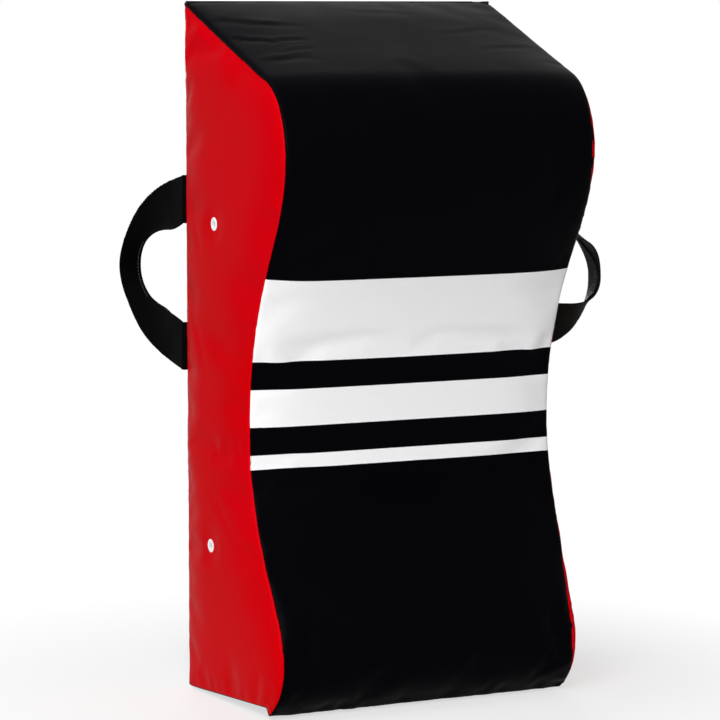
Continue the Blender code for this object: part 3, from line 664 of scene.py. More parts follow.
def blow_up():
    """Where the skin's points end up after the simulation."""
    thing = bpy.data.objects.new("skin", skin_mesh)
    bpy.context.scene.collection.objects.link(thing)
    thing.vertex_groups.new(name="held").add(held_points(), 1.0, "REPLACE")
    cloth = thing.modifiers.new("cloth", "CLOTH")
    settings = cloth.settings
    settings.quality = 6
    settings.mass = 0.4
    settings.tension_stiffness = settings.compression_stiffness = 40
    settings.shear_stiffness = 20
    settings.bending_stiffness = 8
    settings.vertex_group_mass = "held"
    settings.use_pressure = True
    settings.uniform_pressure_force = PRESSURE
    settings.shrink_min = -EXTRA_CLOTH
    settings.effector_weights.gravity = 0
    cloth.collision_settings.use_collision = False
    scene = bpy.context.scene
    for number in range(1, FRAMES + 1):
        scene.frame_set(number)
    evaluated = thing.evaluated_get(bpy.context.evaluated_depsgraph_get())
    moved = np.array([vertex.co for vertex in evaluated.data.vertices])
    bpy.data.objects.remove(thing)
    scene.frame_set(1)
    return moved


blown_up = blow_up()
print("blown up:", round(float(np.linalg.norm(blown_up - skin_points, axis=1).max()) * 1000, 1), "mm at most")

# %% [markdown]
# Air alone would round the whole shield like a balloon. So each panel has a cap on how far a point may
# move, and a smooth curve eases larger moves under it, which keeps the waves and loses the balloon. On the
# head's slope only a small share of the move is used, and it grows to the whole over the brow.

# %% Cap the moves
MOST_MOVE = {"front": 0.0030, "left": 0.0022, "right": 0.0022, "back": 0.0030, "base": 0.0}
HEAD_MARKS, HEAD_CALM = (0.22, 0.34), (0.15, 1.0)
NO_LENGTH = 1e-9


def swollen_grids(moved):
    """Each panel's grid after the simulation, with every point's move eased under its panel's cap."""
    made = {}
    for name, numbers in numbers_of.items():
        start = skin_points[numbers]
        move = moved[numbers] - start
        if name == "front":
            move = move * np.interp(marks, HEAD_MARKS, HEAD_CALM)[:, None, None]
        length = np.linalg.norm(move, axis=2)[..., None]
        most = MOST_MOVE[name]
        eased = most * np.tanh(length / max(most, NO_LENGTH))
        kept = np.where(length > NO_LENGTH, eased / np.maximum(length, NO_LENGTH), 0)
        made[name] = start + move * kept
    return made


swollen = swollen_grids(blown_up)
for name, grid in swollen.items():
    move = np.linalg.norm(grid - skin_points[numbers_of[name]], axis=2) * 1000
    mean, most = round(float(move.mean()), 2), round(float(move.max()), 2)
    print(name, "moved", mean, "mm on average,", most, "mm at most")

# %% [markdown]
# ## Finer panels
# Each panel is drawn again with finer cells, closest together along its seams, where the cloth rolls over
# the foam's soft edge and dives into the seam. The finer points lie on smooth curves through the simulated
# ones. That keeps the simulation quick, and still leaves enough points for puckers and rolls.

# %% Resample the panels
FINE = 0.0046
FIRST_STEP = 0.0017
SIDE_DEPTH = 0.170
EDGE_REST = 0.95
EDGE_STEPS = np.array((FIRST_STEP, 0.0021, 0.0026, 0.0033, 0.0042, 0.0053, 0.0067, 0.0085))


def smooth_between(values, where):
    """A smooth curve through rows of values, read at fractional row numbers."""
    last = len(values) - 1
    low = np.clip(np.floor(where).astype(int), 0, last - 1)
    part = (where - low).reshape(-1, *([1] * (values.ndim - 1)))
    a, b = values[np.clip(low - 1, 0, last)], values[low]
    c, d = values[low + 1], values[np.clip(low + 2, 0, last)]
    curve = 2 * b + (c - a) * part + (2 * a - 5 * b + 4 * c - d) * part ** 2
    return 0.5 * (curve + (3 * b - a - 3 * c + d) * part ** 3)


def fine_places(cells, edge_cell, inner_cell):
    """Fractional cell numbers across a grid, close together in its first and last cells."""
    edge = EDGE_STEPS[EDGE_STEPS < edge_cell * EDGE_REST] / edge_cell
    inner = np.linspace(1, cells - 1, round((cells - 2) * inner_cell / FINE) + 1)
    return np.concatenate([edge, inner, cells - edge[::-1]])


ALONG = fine_places(CELLS_ALONG, STEP, STEP)
ACROSS = fine_places(CELLS_ACROSS, EDGE_CELL, (BASE_WIDTH - 2 * EDGE_CELL) / (CELLS_ACROSS - 2))
THROUGH = fine_places(CELLS_THROUGH, EDGE_CELL, SIDE_DEPTH / (CELLS_THROUGH - 2))
PLACES = {"front": (ALONG, ACROSS), "back": (ALONG, ACROSS), "base": (THROUGH, ACROSS),
          "left": (ALONG, THROUGH), "right": (ALONG, THROUGH)}
ALONG_METRES = ALONG * LENGTH / CELLS_ALONG


def resample(grid, rows, columns):
    fine = smooth_between(grid, rows)
    return smooth_between(fine.transpose(1, 0, 2), columns).transpose(1, 0, 2)


panels = {name: resample(grid, *PLACES[name]) for name, grid in swollen.items()}
print("panels:", {name: points.shape[:2] for name, points in panels.items()})

# %% [markdown]
# ## Rolled seams
# The cover is sewn inside out and turned, so a seam shows as two soft rolls that meet in a groove. Seen in
# section, the cloth follows a soft corner, and the groove sits somewhere on it. Where it sits depends on
# the tailoring: on the head the black strip wraps down over the side, and along the bumper the red sides
# pull round to the front. The table says where: millimetres past the corner on to the side face, or on to
# the front face if negative, at some metres down the strip. Hand sewing wanders, so a seam does too.

# %% Where the long seams lie
SEAM_TABLE = {
    "left": ((0.000, 2.4), (0.014, 4.6), (0.190, 4.6), (0.245, 0.6), (0.420, -0.4), (0.600, -0.8),
             (0.760, -2.2), (0.880, -2.4), (0.936, 0.6)),
    "right": ((0.000, 2.4), (0.014, 4.6), (0.190, 4.4), (0.245, 0.4), (0.300, -2.6), (0.350, 0.2),
              (0.500, 1.6), (0.680, 1.6), (0.760, -1.2), (0.820, -4.6), (0.870, -4.8), (0.905, -1.0),
              (0.936, 2.4)),
}
SEAM_WANDER = 0.0003
SIDE_OF = {"left": -1, "right": 1}
WAVE_LENGTHS = ((0.0095, 0.7), (0.013, 1.0), (0.019, 1.0), (0.031, 0.8))
WAVE_PEAK = 2.2
SWELL_LENGTHS = (0.11, 0.17, 0.29)
SWELL_MEAN, SWELL_SHARE, SWELL_RANGE = 0.55, 0.3, (0.08, 1.3)
SEAM_SEED = 40


def waves(run, seed):
    """An irregular wave along a seam, about -1 to 1, that comes and goes."""
    source = np.random.RandomState(seed)
    total = sum(np.sin(2 * np.pi * (run / length + source.rand())) * weight
                for length, weight in WAVE_LENGTHS)
    swell = sum(np.sin(2 * np.pi * (run / length + source.rand())) for length in SWELL_LENGTHS)
    return total / WAVE_PEAK * np.clip(SWELL_MEAN + SWELL_SHARE * swell, *SWELL_RANGE)


seam_places = {}
for name in SIDE_OF:
    places, past = np.array(SEAM_TABLE[name]).T
    wander = SEAM_WANDER * waves(ALONG_METRES, SEAM_SEED + SIDE_OF[name])
    seam_places[name] = (np.interp(ALONG_METRES, places, past) / 1000 + wander)[:, None]
    print(name, "seam lies between", round(float(seam_places[name].min()) * 1000, 1), "and",
          round(float(seam_places[name].max()) * 1000, 1), "mm past the corner")

# %% [markdown]
# A roll moves each point near an edge from its flat place to its place round the corner. Two things say
# how far: the distance from the edge, measured along the cloth, and the seam's place. Both panels that
# meet at an edge use the same rule from their own side, so they meet in the groove.

# %% The roll
SEAM_REACH = 0.013
GROOVE = 0.0007
GROOVE_RUN = 0.0013
X, Y, Z = np.eye(3)


def ease(share):
    share = np.clip(share, 0, 1)
    return share * share * (3 - 2 * share)


def runs_from_edges(points):
    """Metres along the cloth from the first and last column and the first and last row of a grid."""
    runs = []
    for axis in (1, 0):
        steps = np.linalg.norm(np.diff(points, axis=axis), axis=2)
        run = np.cumsum(np.concatenate([np.zeros_like(steps.take([0], axis)), steps], axis=axis), axis=axis)
        runs += [run, run.take([-1], axis) - run]
    return dict(zip(("first column", "last column", "first row", "last row"), runs))


def rolled(run, seam_at, corner, own_normal, other_normal):
    """How a panel moves near an edge. Seam_at is the seam's place on the panel's own face."""
    reach = run + FIRST_STEP
    place = reach + (seam_at - FIRST_STEP) * (1 - ease(run / SEAM_REACH))
    root = np.hypot(place, corner)
    own, sink = (root + place) / 2, (root - place) / 2
    groove = GROOVE * np.exp(-run / GROOVE_RUN) / math.sqrt(2)
    return -other_normal * (own - reach + groove)[..., None] - own_normal * (sink + groove)[..., None]


slope_normals = np.stack([np.zeros(len(marks)), -outline_normals[:, 0], outline_normals[:, 1]], axis=1)
front_normals = smooth_between(slope_normals, ALONG)
front_normals /= np.linalg.norm(front_normals, axis=1)[:, None]
NORMALS = {"front": front_normals[:, None], "left": -X, "right": X, "back": Y, "base": -Z}
runs = {name: runs_from_edges(points) for name, points in panels.items()}
print("measured from:", sorted(runs["front"]))

# %% [markdown]
# Every edge of every panel rolls over its own corner. The long corners between the front and the sides are
# the softest. A panel's moves at all four of its edges are added up and made in one go.

# %% Roll the panels over their corners
CORNERS = {"side": 0.0036, "back": 0.0018, "head": 0.0014, "base": 0.0016}
HEAD_SEAM = 0.0015
moves = {name: np.zeros_like(points) for name, points in panels.items()}
for name, side in SIDE_OF.items():
    own_edge = "first column" if side < 0 else "last column"
    past = seam_places[name]
    moves["front"] += rolled(runs["front"][own_edge], -past, CORNERS["side"], NORMALS["front"], side * X)
    moves[name] += rolled(runs[name]["last column"], past, CORNERS["side"], side * X, NORMALS["front"])
    moves["back"] += rolled(runs["back"][own_edge], 0, CORNERS["back"], Y, side * X)
    moves[name] += rolled(runs[name]["first column"], 0, CORNERS["back"], side * X, Y)
    moves["base"] += rolled(runs["base"][own_edge], 0, CORNERS["base"], -Z, side * X)
    moves[name] += rolled(runs[name]["last row"], 0, CORNERS["base"], side * X, -Z)
head_normal, toe_normal = front_normals[0], front_normals[-1]
moves["front"] += rolled(runs["front"]["first row"], -HEAD_SEAM, CORNERS["head"], head_normal, Y)
moves["back"] += rolled(runs["back"]["first row"], HEAD_SEAM, CORNERS["head"], Y, head_normal)
moves["front"] += rolled(runs["front"]["last row"], 0, CORNERS["base"], toe_normal, -Z)
moves["base"] += rolled(runs["base"]["last row"], 0, CORNERS["base"], -Z, toe_normal)
moves["back"] += rolled(runs["back"]["last row"], 0, CORNERS["base"], Y, -Z)
moves["base"] += rolled(runs["base"]["first row"], 0, CORNERS["base"], -Z, Y)
print("most moved by rolling:", round(float(np.abs(moves["front"]).max()) * 1000, 1), "mm")

# %% [markdown]
# Foam never fills a cover evenly. On this shield the head stands a little high, and the right front edge is
# slim at the bumper and full above it. The table gives how many millimetres that edge stands out at some
# heights. The foam blocks go through the same function later, so they stay inside their cover.

# %% Settle the cover on its foam
RIGHT_SLACK = ((0.0, 0.0), (0.02, -0.8), (0.05, -2.4), (0.094, -3.6), (0.139, 0.0), (0.172, 3.6),
               (0.205, 4.2), (0.26, 2.2), (0.32, 0.0))
SLACK_STARTS, SLACK_RUN = 0.06, 0.06
HEAD_LIFT, LIFT_STARTS, LIFT_RUN = 0.0014, 0.70, 0.05
BASE_RIM = 0.006


def settled(points):
    """Lifts the top of the head a little and lets the right front edge follow its foam."""
    lift = HEAD_LIFT * ease((points[..., 2] - LIFT_STARTS) / LIFT_RUN)
    depth = BACK_Y - points[..., 1]
    near_front = ease((depth - SLACK_STARTS) / SLACK_RUN)
    near_front = near_front * ease(points[..., 0] / half_width(points[..., 2]))
    slack = np.interp(points[..., 2], *np.array(RIGHT_SLACK).T) / 1000 * near_front
    return points + Z * lift[..., None] + X * slack[..., None]


for name, move in moves.items():
    panels[name] = settled(panels[name] + move)
to_edge = np.minimum.reduce(list(runs["base"].values()))
panels["base"] = panels["base"] - Z * (FLOOR_GAP * ease(to_edge / BASE_RIM))[..., None]
print("panels reach down to", round(min(float(points[..., 2].min()) for points in panels.values()), 5), "m")

# %% [markdown]
# The corners at the toe are sewn round a tighter curve, so they end up blunt. Each nearby point moves
# towards the middle of a quarter circle, whichever panel it belongs to.

# %% Blunt toe corners
TOE_ROUNDING = {"left": 0.006, "right": 0.015}
TOE_DEEP, TOE_FADE = 0.012, 0.030


def blunt_toe(points, side, radius):
    """Rounds the bottom front corner, seen from the front, and fades out a little way behind it."""
    behind = points[..., 1] - (BACK_Y - TOE.x)
    size = radius * (1 - ease((behind - TOE_DEEP) / TOE_FADE))
    inward = np.clip(size - (half_width(points[..., 2]) - side * points[..., 0]), 0, size)
    upward = np.clip(size - points[..., 2], 0, size)
    away = np.hypot(inward, upward)
    share = np.maximum(away - size, 0) / np.maximum(away, NO_LENGTH)
    return points - side * X * (inward * share)[..., None] + Z * (upward * share)[..., None]


for name, side in SIDE_OF.items():
    for panel in panels:
        panels[panel] = blunt_toe(panels[panel], side, TOE_ROUNDING[name])
print("toe corners:", TOE_ROUNDING)

# %% [markdown]
# Rolls that meet at a corner don't quite agree, so the seams gape there by a fraction of a millimetre. Both
# panels of every seam take the middle between their two edges, a few times over, because a corner belongs
# to three seams. A side's first row is drawn in towards its tip at the head, where it would stick out.

# %% Close the seams
CLOSING_ROUNDS = 30
TIP_SIZE = 0.15
SEAMS = [("front", np.s_[0], "back", np.s_[0]), ("front", np.s_[-1], "base", np.s_[-1]),
         ("back", np.s_[-1], "base", np.s_[0])]
for name, side in SIDE_OF.items():
    edge = np.s_[:, 0] if side < 0 else np.s_[:, -1]
    SEAMS += [("front", edge, name, np.s_[:, -1]), ("back", edge, name, np.s_[:, 0]),
              ("base", edge, name, np.s_[-1])]


def close_seams():
    """Brings both edges of each seam to the middle between them."""
    widest = 0
    for first, first_edge, second, second_edge in SEAMS:
        gap = np.linalg.norm(panels[first][first_edge] - panels[second][second_edge], axis=1)
        widest = max(widest, float(gap.max()))
        middle = (panels[first][first_edge] + panels[second][second_edge]) / 2
        panels[first][first_edge] = middle
        panels[second][second_edge] = middle
    return widest


gaps = [close_seams() for _ in range(CLOSING_ROUNDS)]
for name in SIDE_OF:
    tip = panels[name][0, 0].copy()
    panels[name][0] = tip + (panels[name][0] - tip) * TIP_SIZE
print("widest seam gap before and after:", round(gaps[0] * 1000, 2), round(gaps[-1] * 1000, 5), "mm")

# %% [markdown]
# ## Puckers and creases
# The needle gathers cloth as it sews, so both sides of a seam pucker in short waves that fade within a
# finger's width. They are summed from a few sines of different lengths with seeded phases, so that they
# look irregular and come out the same on every run. Longer creases, where the cloth was folded in its
# carton or pulls at a corner, are placed one by one where the photograph shows them.


# %% Puckers along the seams
PUCKER_PEAK = 0.007
PUCKER_SLANT = 0.35


def pucker(name, edge, along_seam, height, seed):
    """Lifts and sinks the cloth beside one edge. Along_seam is metres along that seam."""
    distance = runs[name][edge]
    share = distance / PUCKER_PEAK
    shape = waves(along_seam + distance * PUCKER_SLANT, seed) * share * np.exp(1 - share)
    panels[name] = panels[name] + NORMALS[name] * (height * shape)[..., None]


run_down = ALONG_METRES[:, None]
front_across = panels["front"][..., 0]
lower_right = 1 + 1.3 * ease((run_down - 0.76) / 0.04)
below_head = 0.3 + 0.7 * ease((run_down - 0.15) / 0.06)
pucker("front", "first column", run_down, 0.00040 * below_head, 3)
pucker("front", "last column", run_down, 0.00045 * lower_right * below_head, 4)
pucker("front", "first row", front_across, 0.00012, 5)
pucker("front", "last row", front_across, 0.00035, 6)
for name, side in SIDE_OF.items():
    pucker(name, "last column", run_down, 0.00045, 3 + (side + 1) // 2)
    pucker(name, "first column", run_down, 0.00030, 12 + side)
    pucker(name, "last row", -panels[name][..., 1], 0.00025, 16 + side)
loose = np.where(sewn_down(panels["back"]), 0.2, 1.0)
pucker("back", "first column", run_down, 0.00030 * loose, 21)
pucker("back", "last column", run_down, 0.00030 * loose, 22)
pucker("back", "first row", panels["back"][..., 0], 0.00030, 23)
print("puckers run over", [round(length * 1000, 1) for length, _ in WAVE_LENGTHS], "mm")

# %% [markdown]
# A crease is a narrow groove with a low lip on one side, and it fades towards both ends. Each line gives
# where one starts and ends on the panel's flat pattern in metres, its depth and its width.

# %% Single creases
CREASE_WANDER, WANDER_TURN, WANDER_START = 0.0012, 9.0, 80
LIP_HEIGHT, LIP_PLACE = 0.6, 1.9


def crease(name, pattern, start, end, depth, width):
    """Presses a tapering crease along a line on a panel's flat pattern."""
    start, end = np.array(start), np.array(end)
    line = end - start
    length = np.linalg.norm(line)
    offset = pattern - start
    share = offset @ line / length ** 2
    away = (offset[..., 0] * line[1] - offset[..., 1] * line[0]) / length
    away = away + CREASE_WANDER * np.sin(share * WANDER_TURN + start[0] * WANDER_START)
    taper = np.sqrt(np.clip(np.sin(np.pi * np.clip(share, 0, 1)), 0, 1))
    press = LIP_HEIGHT * np.exp(-((away - LIP_PLACE * width) / width) ** 2) - np.exp(-(away / width) ** 2)
    panels[name] = panels[name] + NORMALS[name] * (depth * taper * press)[..., None]


FRONT_CREASES = (
    ((-0.184, 0.104), (-0.138, 0.125), 0.0014, 0.0030), ((-0.152, 0.122), (-0.096, 0.117), 0.0009, 0.0024),
    ((-0.160, 0.076), (-0.082, 0.084), 0.0005, 0.0040), ((-0.170, 0.166), (-0.104, 0.172), 0.0005, 0.0040),
    ((-0.180, 0.060), (-0.110, 0.085), 0.0008, 0.0050),
    ((-0.146, 0.151), (-0.100, 0.140), 0.0008, 0.0026), ((-0.176, 0.172), (-0.110, 0.160), 0.0007, 0.0050),
    ((-0.020, 0.040), (0.070, 0.052), 0.0003, 0.0050), ((0.060, 0.110), (0.150, 0.092), 0.0003, 0.0045),
    ((0.100, 0.150), (0.176, 0.135), 0.0004, 0.0040), ((0.178, 0.792), (0.150, 0.806), 0.0012, 0.0036),
    ((0.180, 0.840), (0.146, 0.850), 0.0013, 0.0038), ((0.176, 0.880), (0.140, 0.898), 0.0013, 0.0042),
    ((-0.176, 0.266), (-0.140, 0.285), 0.0009, 0.0042), ((-0.170, 0.700), (-0.100, 0.716), 0.0005, 0.0060),
)
LEFT_CREASES = (
    ((0.178, 0.150), (0.214, 0.075), 0.0011, 0.0024), ((0.196, 0.118), (0.222, 0.066), 0.0008, 0.0020),
    ((0.150, 0.240), (0.176, 0.150), 0.0006, 0.0030),
    ((0.060, 0.235), (0.150, 0.170), 0.0006, 0.0060), ((0.008, 0.560), (0.050, 0.480), 0.0009, 0.0060),
    ((0.020, 0.430), (0.060, 0.360), 0.0006, 0.0060),
)
front_pattern = np.stack([front_across, np.broadcast_to(run_down, front_across.shape)], axis=2)
for line in FRONT_CREASES:
    crease("front", front_pattern, *line)
left_pattern = np.stack([BACK_Y - panels["left"][..., 1], panels["left"][..., 2]], axis=2)
for line in LEFT_CREASES:
    crease("left", left_pattern, *line)
print("creases:", len(FRONT_CREASES), "on the front,", len(LEFT_CREASES), "on the left side")

# %% [markdown]
# ## Room for the vents
# When the foam is hit, air leaves through a metal eyelet near each corner of the back. The eyelet grips
# the cloth between its flange and a washer, so the cloth there lies flat at the eyelet's own level and
# rises softly round it. The level is read from the solids, so that the metal sits exactly on the cloth.

# %% Seat the cloth under the eyelets
FLANGE_RISE = 0.0013
LIFT = 0.0002
SEAT_MARGIN, SEAT_FADE = 1.15, 0.020
LEAN = math.atan((TOP_WIDTH - BASE_WIDTH) / 2 / HEIGHT)
VENTS = {name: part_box(name) for name in frame["nodes"] if name.endswith("eyelet")}


def vent_face(name):
    """The side that an eyelet is on, the middle of its flange on the cloth, and its radius."""
    low, high = VENTS[name]
    side = -1 if name.startswith("left") else 1
    radius = (high.z - low.z) / 2
    outermost = high.x if side > 0 else -low.x
    face = outermost - FLANGE_RISE - radius * math.sin(LEAN)
    return side, Vector((side * face, (low.y + high.y) / 2, (low.z + high.z) / 2)), radius


for vent in VENTS:
    side, middle, radius = vent_face(vent)
    name = "left" if side < 0 else "right"
    points = panels[name]
    away = np.hypot(points[..., 1] - middle.y, points[..., 2] - middle.z)
    level = side * (abs(middle.x) + LIFT + (points[..., 2] - middle.z) * math.tan(LEAN))
    share = 1 - ease((away - radius * SEAT_MARGIN) / SEAT_FADE)
    seat = (level - points[..., 0]) * share
    panels[name] = points + X * seat[..., None]
    print(vent, "moved the cloth", round(float(np.abs(seat).max()) * 1000, 2), "mm")

# %% [markdown]
# ## From grids to pieces
# A panel becomes a mesh with its flat pattern as UV coordinates in metres, and a Solidify modifier gives
# it the thickness of coated cloth. The modifier keeps the outer face where it is and grows inwards, so
# thickness never changes the shield's size.

# %% Helpers for pieces
CLOTH_THICKNESS = 0.0012


def new_thing(name, mesh, finish):
    mesh.materials.append(finish.material)
    thing = bpy.data.objects.new(name, mesh)
    bpy.context.scene.collection.objects.link(thing)
    return thing


def lay_pattern(mesh, pattern):
    """Stores each point's place on the flat pattern as UV coordinates in metres."""
    layer = mesh.uv_layers.new(name="pattern")
    corners = np.zeros(len(mesh.loops), int)
    mesh.loops.foreach_get("vertex_index", corners)
    layer.data.foreach_set("uv", pattern.reshape(-1, 2)[corners].astype(np.float32).ravel())


def cloth_piece(name, points, pattern, finish, turned=False, thickness=CLOTH_THICKNESS):
    """An object from a grid of points, with its pattern and a thickness."""
    rows, columns = points.shape[:2]
    mesh = bpy.data.meshes.new(name)
    numbers = np.arange(rows * columns).reshape(rows, columns)
    mesh.from_pydata(points.reshape(-1, 3).tolist(), [], quads(numbers, turned))
    lay_pattern(mesh, pattern)
    mesh.shade_smooth()
    thing = new_thing(name, mesh, finish)
    if thickness:
        solid = thing.modifiers.new("thickness", "SOLIDIFY")
        solid.thickness = thickness
        solid.offset = -1
    return thing


def apply_modifiers(thing):
    graph = bpy.context.evaluated_depsgraph_get()
    mesh = bpy.data.meshes.new_from_object(thing.evaluated_get(graph))
    thing.modifiers.clear()
    thing.data = mesh


def stand_in(thing, body, slot, *nodes, fill=None):
    """Puts a piece on its body, in place of its soft solids. Its slot is not used."""
    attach(thing, body)
    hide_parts(*nodes)


print("coated cloth:", CLOTH_THICKNESS * 1000, "mm thick")

# %% [markdown]
# The front strip and the two sides are the first pieces. A side gets a real hole under each eyelet, cut
# with a Boolean modifier, so that one can look into the vent. The modifiers are applied at once, and the
# round cutter is thrown away.

# %% Front and side covers
VENT_HOLE = 0.0046
HOLE_SIDES = 32
PUNCH_DEPTH = 0.03


def punch(thing, middle):
    """Cuts a round hole through a side cover."""
    maker = bmesh.new()
    place = Matrix.Translation(middle) @ Matrix.Rotation(math.pi / 2, 4, "Y")
    bmesh.ops.create_cone(maker, cap_ends=True, segments=HOLE_SIDES, radius1=VENT_HOLE, radius2=VENT_HOLE,
                          depth=PUNCH_DEPTH, matrix=place)
    mesh = bpy.data.meshes.new("punch")
    maker.to_mesh(mesh)
    maker.free()
    cutter = new_thing("punch", mesh, nickel)
    cut = thing.modifiers.new("punch", "BOOLEAN")
    cut.operation = "DIFFERENCE"
    cut.solver = "EXACT"
    cut.object = cutter
    apply_modifiers(thing)
    bpy.data.objects.remove(cutter)
    bpy.data.meshes.remove(mesh)


front_cover = cloth_piece("front_cover", panels["front"], front_pattern, front_vinyl, turned=True)
stand_in(front_cover, "shield", "black_vinyl", "front_panel", fill=0.9)
for name, side in SIDE_OF.items():
    points = panels[name]
    pattern = np.stack([BACK_Y - points[..., 1], points[..., 2]], axis=2)
    cover = cloth_piece(f"{name}_side_cover", points, pattern, red_vinyl, turned=FACE_TURNED[name])
    for vent in VENTS:
        vent_side, middle, radius = vent_face(vent)
        if vent_side == side:
            punch(cover, middle)
    stand_in(cover, "shield", "red_vinyl", f"{name}_side_panel", fill=0.9)
    print(cover.name, len(cover.data.polygons), "faces,", len(cover.data.materials), "finish")

# %% [markdown]
# ## The back and the base
# The back is two pieces of the same vinyl, above and below the zip, each with its edge turned in along the
# zip. Both are cut from the one simulated back panel at the zip's own heights. The base is one flat piece
# whose edge turns up to meet the sides, which shows as a thin dark line under the red.

# %% Back and base covers
HEM_TURNS = np.radians((90, 68, 45, 22, 0))
HEM_RADIUS = 0.0009
HEM_DEPTH = 0.0030
HEM_CLEAR = 0.002


def hem_rows(nearest, edge_height, sign):
    """Rows from inside the zip's window, round the turned edge and on to the back."""
    rows = []
    round_edge = [(turn, HEM_RADIUS * (1 - math.cos(turn))) for turn in HEM_TURNS]
    for turn, behind in [(HEM_TURNS[0], HEM_DEPTH)] + round_edge:
        row = nearest.copy()
        row[:, 0] *= half_width(edge_height) / half_width(nearest[0, 2])
        row[:, 1] = BACK_Y - behind
        row[:, 2] = edge_height - sign * HEM_RADIUS * (1 - math.sin(turn))
        rows.append(row)
    return np.array(rows)


def back_part(name, top, bottom, node, hem_at_top):
    """The part of the back between two heights, with a turned hem on its zip edge."""
    heights = panels["back"][:, len(ACROSS) // 2, 2]
    rows = panels["back"][(heights < top - HEM_CLEAR) & (heights > bottom + HEM_CLEAR)]
    if hem_at_top:
        rows = np.concatenate([hem_rows(rows[0], top, 1), rows])
    else:
        rows = np.concatenate([rows, hem_rows(rows[-1], bottom, -1)[::-1]])
    piece = cloth_piece(name, rows, rows[..., [0, 2]], black_vinyl, turned=FACE_TURNED["back"])
    stand_in(piece, "shield", "black_vinyl", node, fill=0.8)
    print(name, rows.shape[:2])


back_part("back_cover_upper", math.inf, ZIP_HEIGHT + ZIP_WINDOW / 2, "back_panel_upper", False)
back_part("back_cover_lower", ZIP_HEIGHT - ZIP_WINDOW / 2, -math.inf, "back_panel_lower", True)
base_cover = cloth_piece("base_cover", panels["base"], panels["base"][..., :2], black_vinyl,
                         turned=FACE_TURNED["base"])
stand_in(base_cover, "shield", "black_vinyl", "base_panel", fill=0.8)

# %% [markdown]
# ## The foam
# Two blocks fill the cover: a soft contoured one that takes the hit, and a firm flat board behind it next
# to the holder. Both come from the swollen skin itself, moved inwards by the thickness of the cloth, so
# they fit their cover as real padding does. A flat cut parts them, and the corners are eased because a
# foam cutter's corners crush inside a tight cover.

# %% Foam blocks
FOAM_INSET = 0.0030
CORNER_INSET = 0.0062
BOARD_THICKNESS = 0.045
PARTING_GAP = 0.0004
SHARP_CUT = math.radians(50)


def foam_block(name, finish, slot, node, keep_front):
    """One side of the parting cut through a shrunken copy of the swollen skin."""
    maker = bmesh.new()
    maker.from_mesh(skin_mesh)
    maker.verts.ensure_lookup_table()
    seam_points = set()
    for panel, numbers in numbers_of.items():
        for number, place in zip(numbers.ravel(), settled(swollen[panel]).reshape(-1, 3)):
            maker.verts[number].co = place
        seam_points |= edge_points(numbers)
    maker.normal_update()
    insets = [CORNER_INSET if point.index in seam_points else FOAM_INSET for point in maker.verts]
    inward = [point.normal * inset for point, inset in zip(maker.verts, insets)]
    for point, move in zip(maker.verts, inward):
        point.co -= move
    way = 1 if keep_front else -1
    cut = Vector((0, BACK_Y - BOARD_THICKNESS - way * PARTING_GAP / 2, 0))
    everything = maker.verts[:] + maker.edges[:] + maker.faces[:]
    result = bmesh.ops.bisect_plane(maker, geom=everything, plane_co=cut, plane_no=(0, way, 0),
                                    clear_outer=True)
    rim = [item for item in result["geom_cut"] if isinstance(item, bmesh.types.BMEdge)]
    bmesh.ops.contextual_create(maker, geom=rim)
    bmesh.ops.recalc_face_normals(maker, faces=maker.faces)
    open_edges = sum(not edge.is_manifold for edge in maker.edges)
    mesh = bpy.data.meshes.new(name)
    maker.to_mesh(mesh)
    maker.free()
    mesh.shade_smooth()
    mesh.set_sharp_from_angle(angle=SHARP_CUT)
    stand_in(new_thing(name, mesh, finish), "shield", slot, node, fill=1.0)
    print(name, len(mesh.polygons), "faces,", open_edges, "open edges")


foam_block("impact_pad", soft_foam, "soft_foam", "impact_foam", True)
foam_block("backing_board", firm_foam, "firm_foam", "backing_foam", False)

# %% [markdown]
# ## Strap patches
# A hand loop pulls hard on the cover, so each pair of strap ends is sewn over a patch of heavier vinyl.
# The patch has round inner corners, and its outer edge runs into the side seam. It is a grid whose rows
# shorten towards the round corners, laid on the back and following its roll into the seam.

# %% Strap patches
PATCH_THICKNESS = 0.0014
PATCH_CORNER = 0.012
SEAM_GAP = 0.0008
SEAM_SINK, EDGE_SINK = 0.0012, 0.0004
CORNER_ROWS, STRAIGHT_ROWS, PATCH_COLUMNS = 9, 44, 26
CROWDING = 1.4


def patch_grid(low, high, side):
    """Rows from the patch's free edge to the side seam, shorter towards its round corners."""
    bend = PATCH_CORNER * (1 - np.cos(np.linspace(0, np.pi / 2, CORNER_ROWS)[:-1]))
    straight = np.linspace(low.z + PATCH_CORNER, high.z - PATCH_CORNER, STRAIGHT_ROWS)
    inner = min(abs(low.x), abs(high.x))
    rows = []
    for height in np.concatenate([low.z + bend, straight, high.z - bend[::-1]]):
        from_end = min(height - low.z, high.z - height)
        short = PATCH_CORNER - min(from_end, PATCH_CORNER)
        start = inner + PATCH_CORNER - math.sqrt(PATCH_CORNER ** 2 - short ** 2)
        outer = half_width(height) - SEAM_GAP
        share = 1 - (1 - np.linspace(0, 1, PATCH_COLUMNS)) ** CROWDING
        across = start + (outer - start) * share
        from_free = np.minimum(across - start, from_end)
        sink = SEAM_SINK * np.exp((across - outer) / SEAM_SINK)
        sink = sink + EDGE_SINK * np.exp(-from_free / (2 * EDGE_SINK))
        rows.append(np.stack([side * across, high.y - sink, np.full_like(across, height)], axis=1))
    return np.array(rows)


for name, side in SIDE_OF.items():
    points = patch_grid(*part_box(f"{name}_strap_patch"), side)
    patch = cloth_piece(f"{name}_patch", points, points[..., [0, 2]], patch_vinyl, turned=side > 0,
                        thickness=PATCH_THICKNESS)
    stand_in(patch, "shield", "patch_vinyl", f"{name}_strap_patch")
    print(patch.name, points.shape[:2])

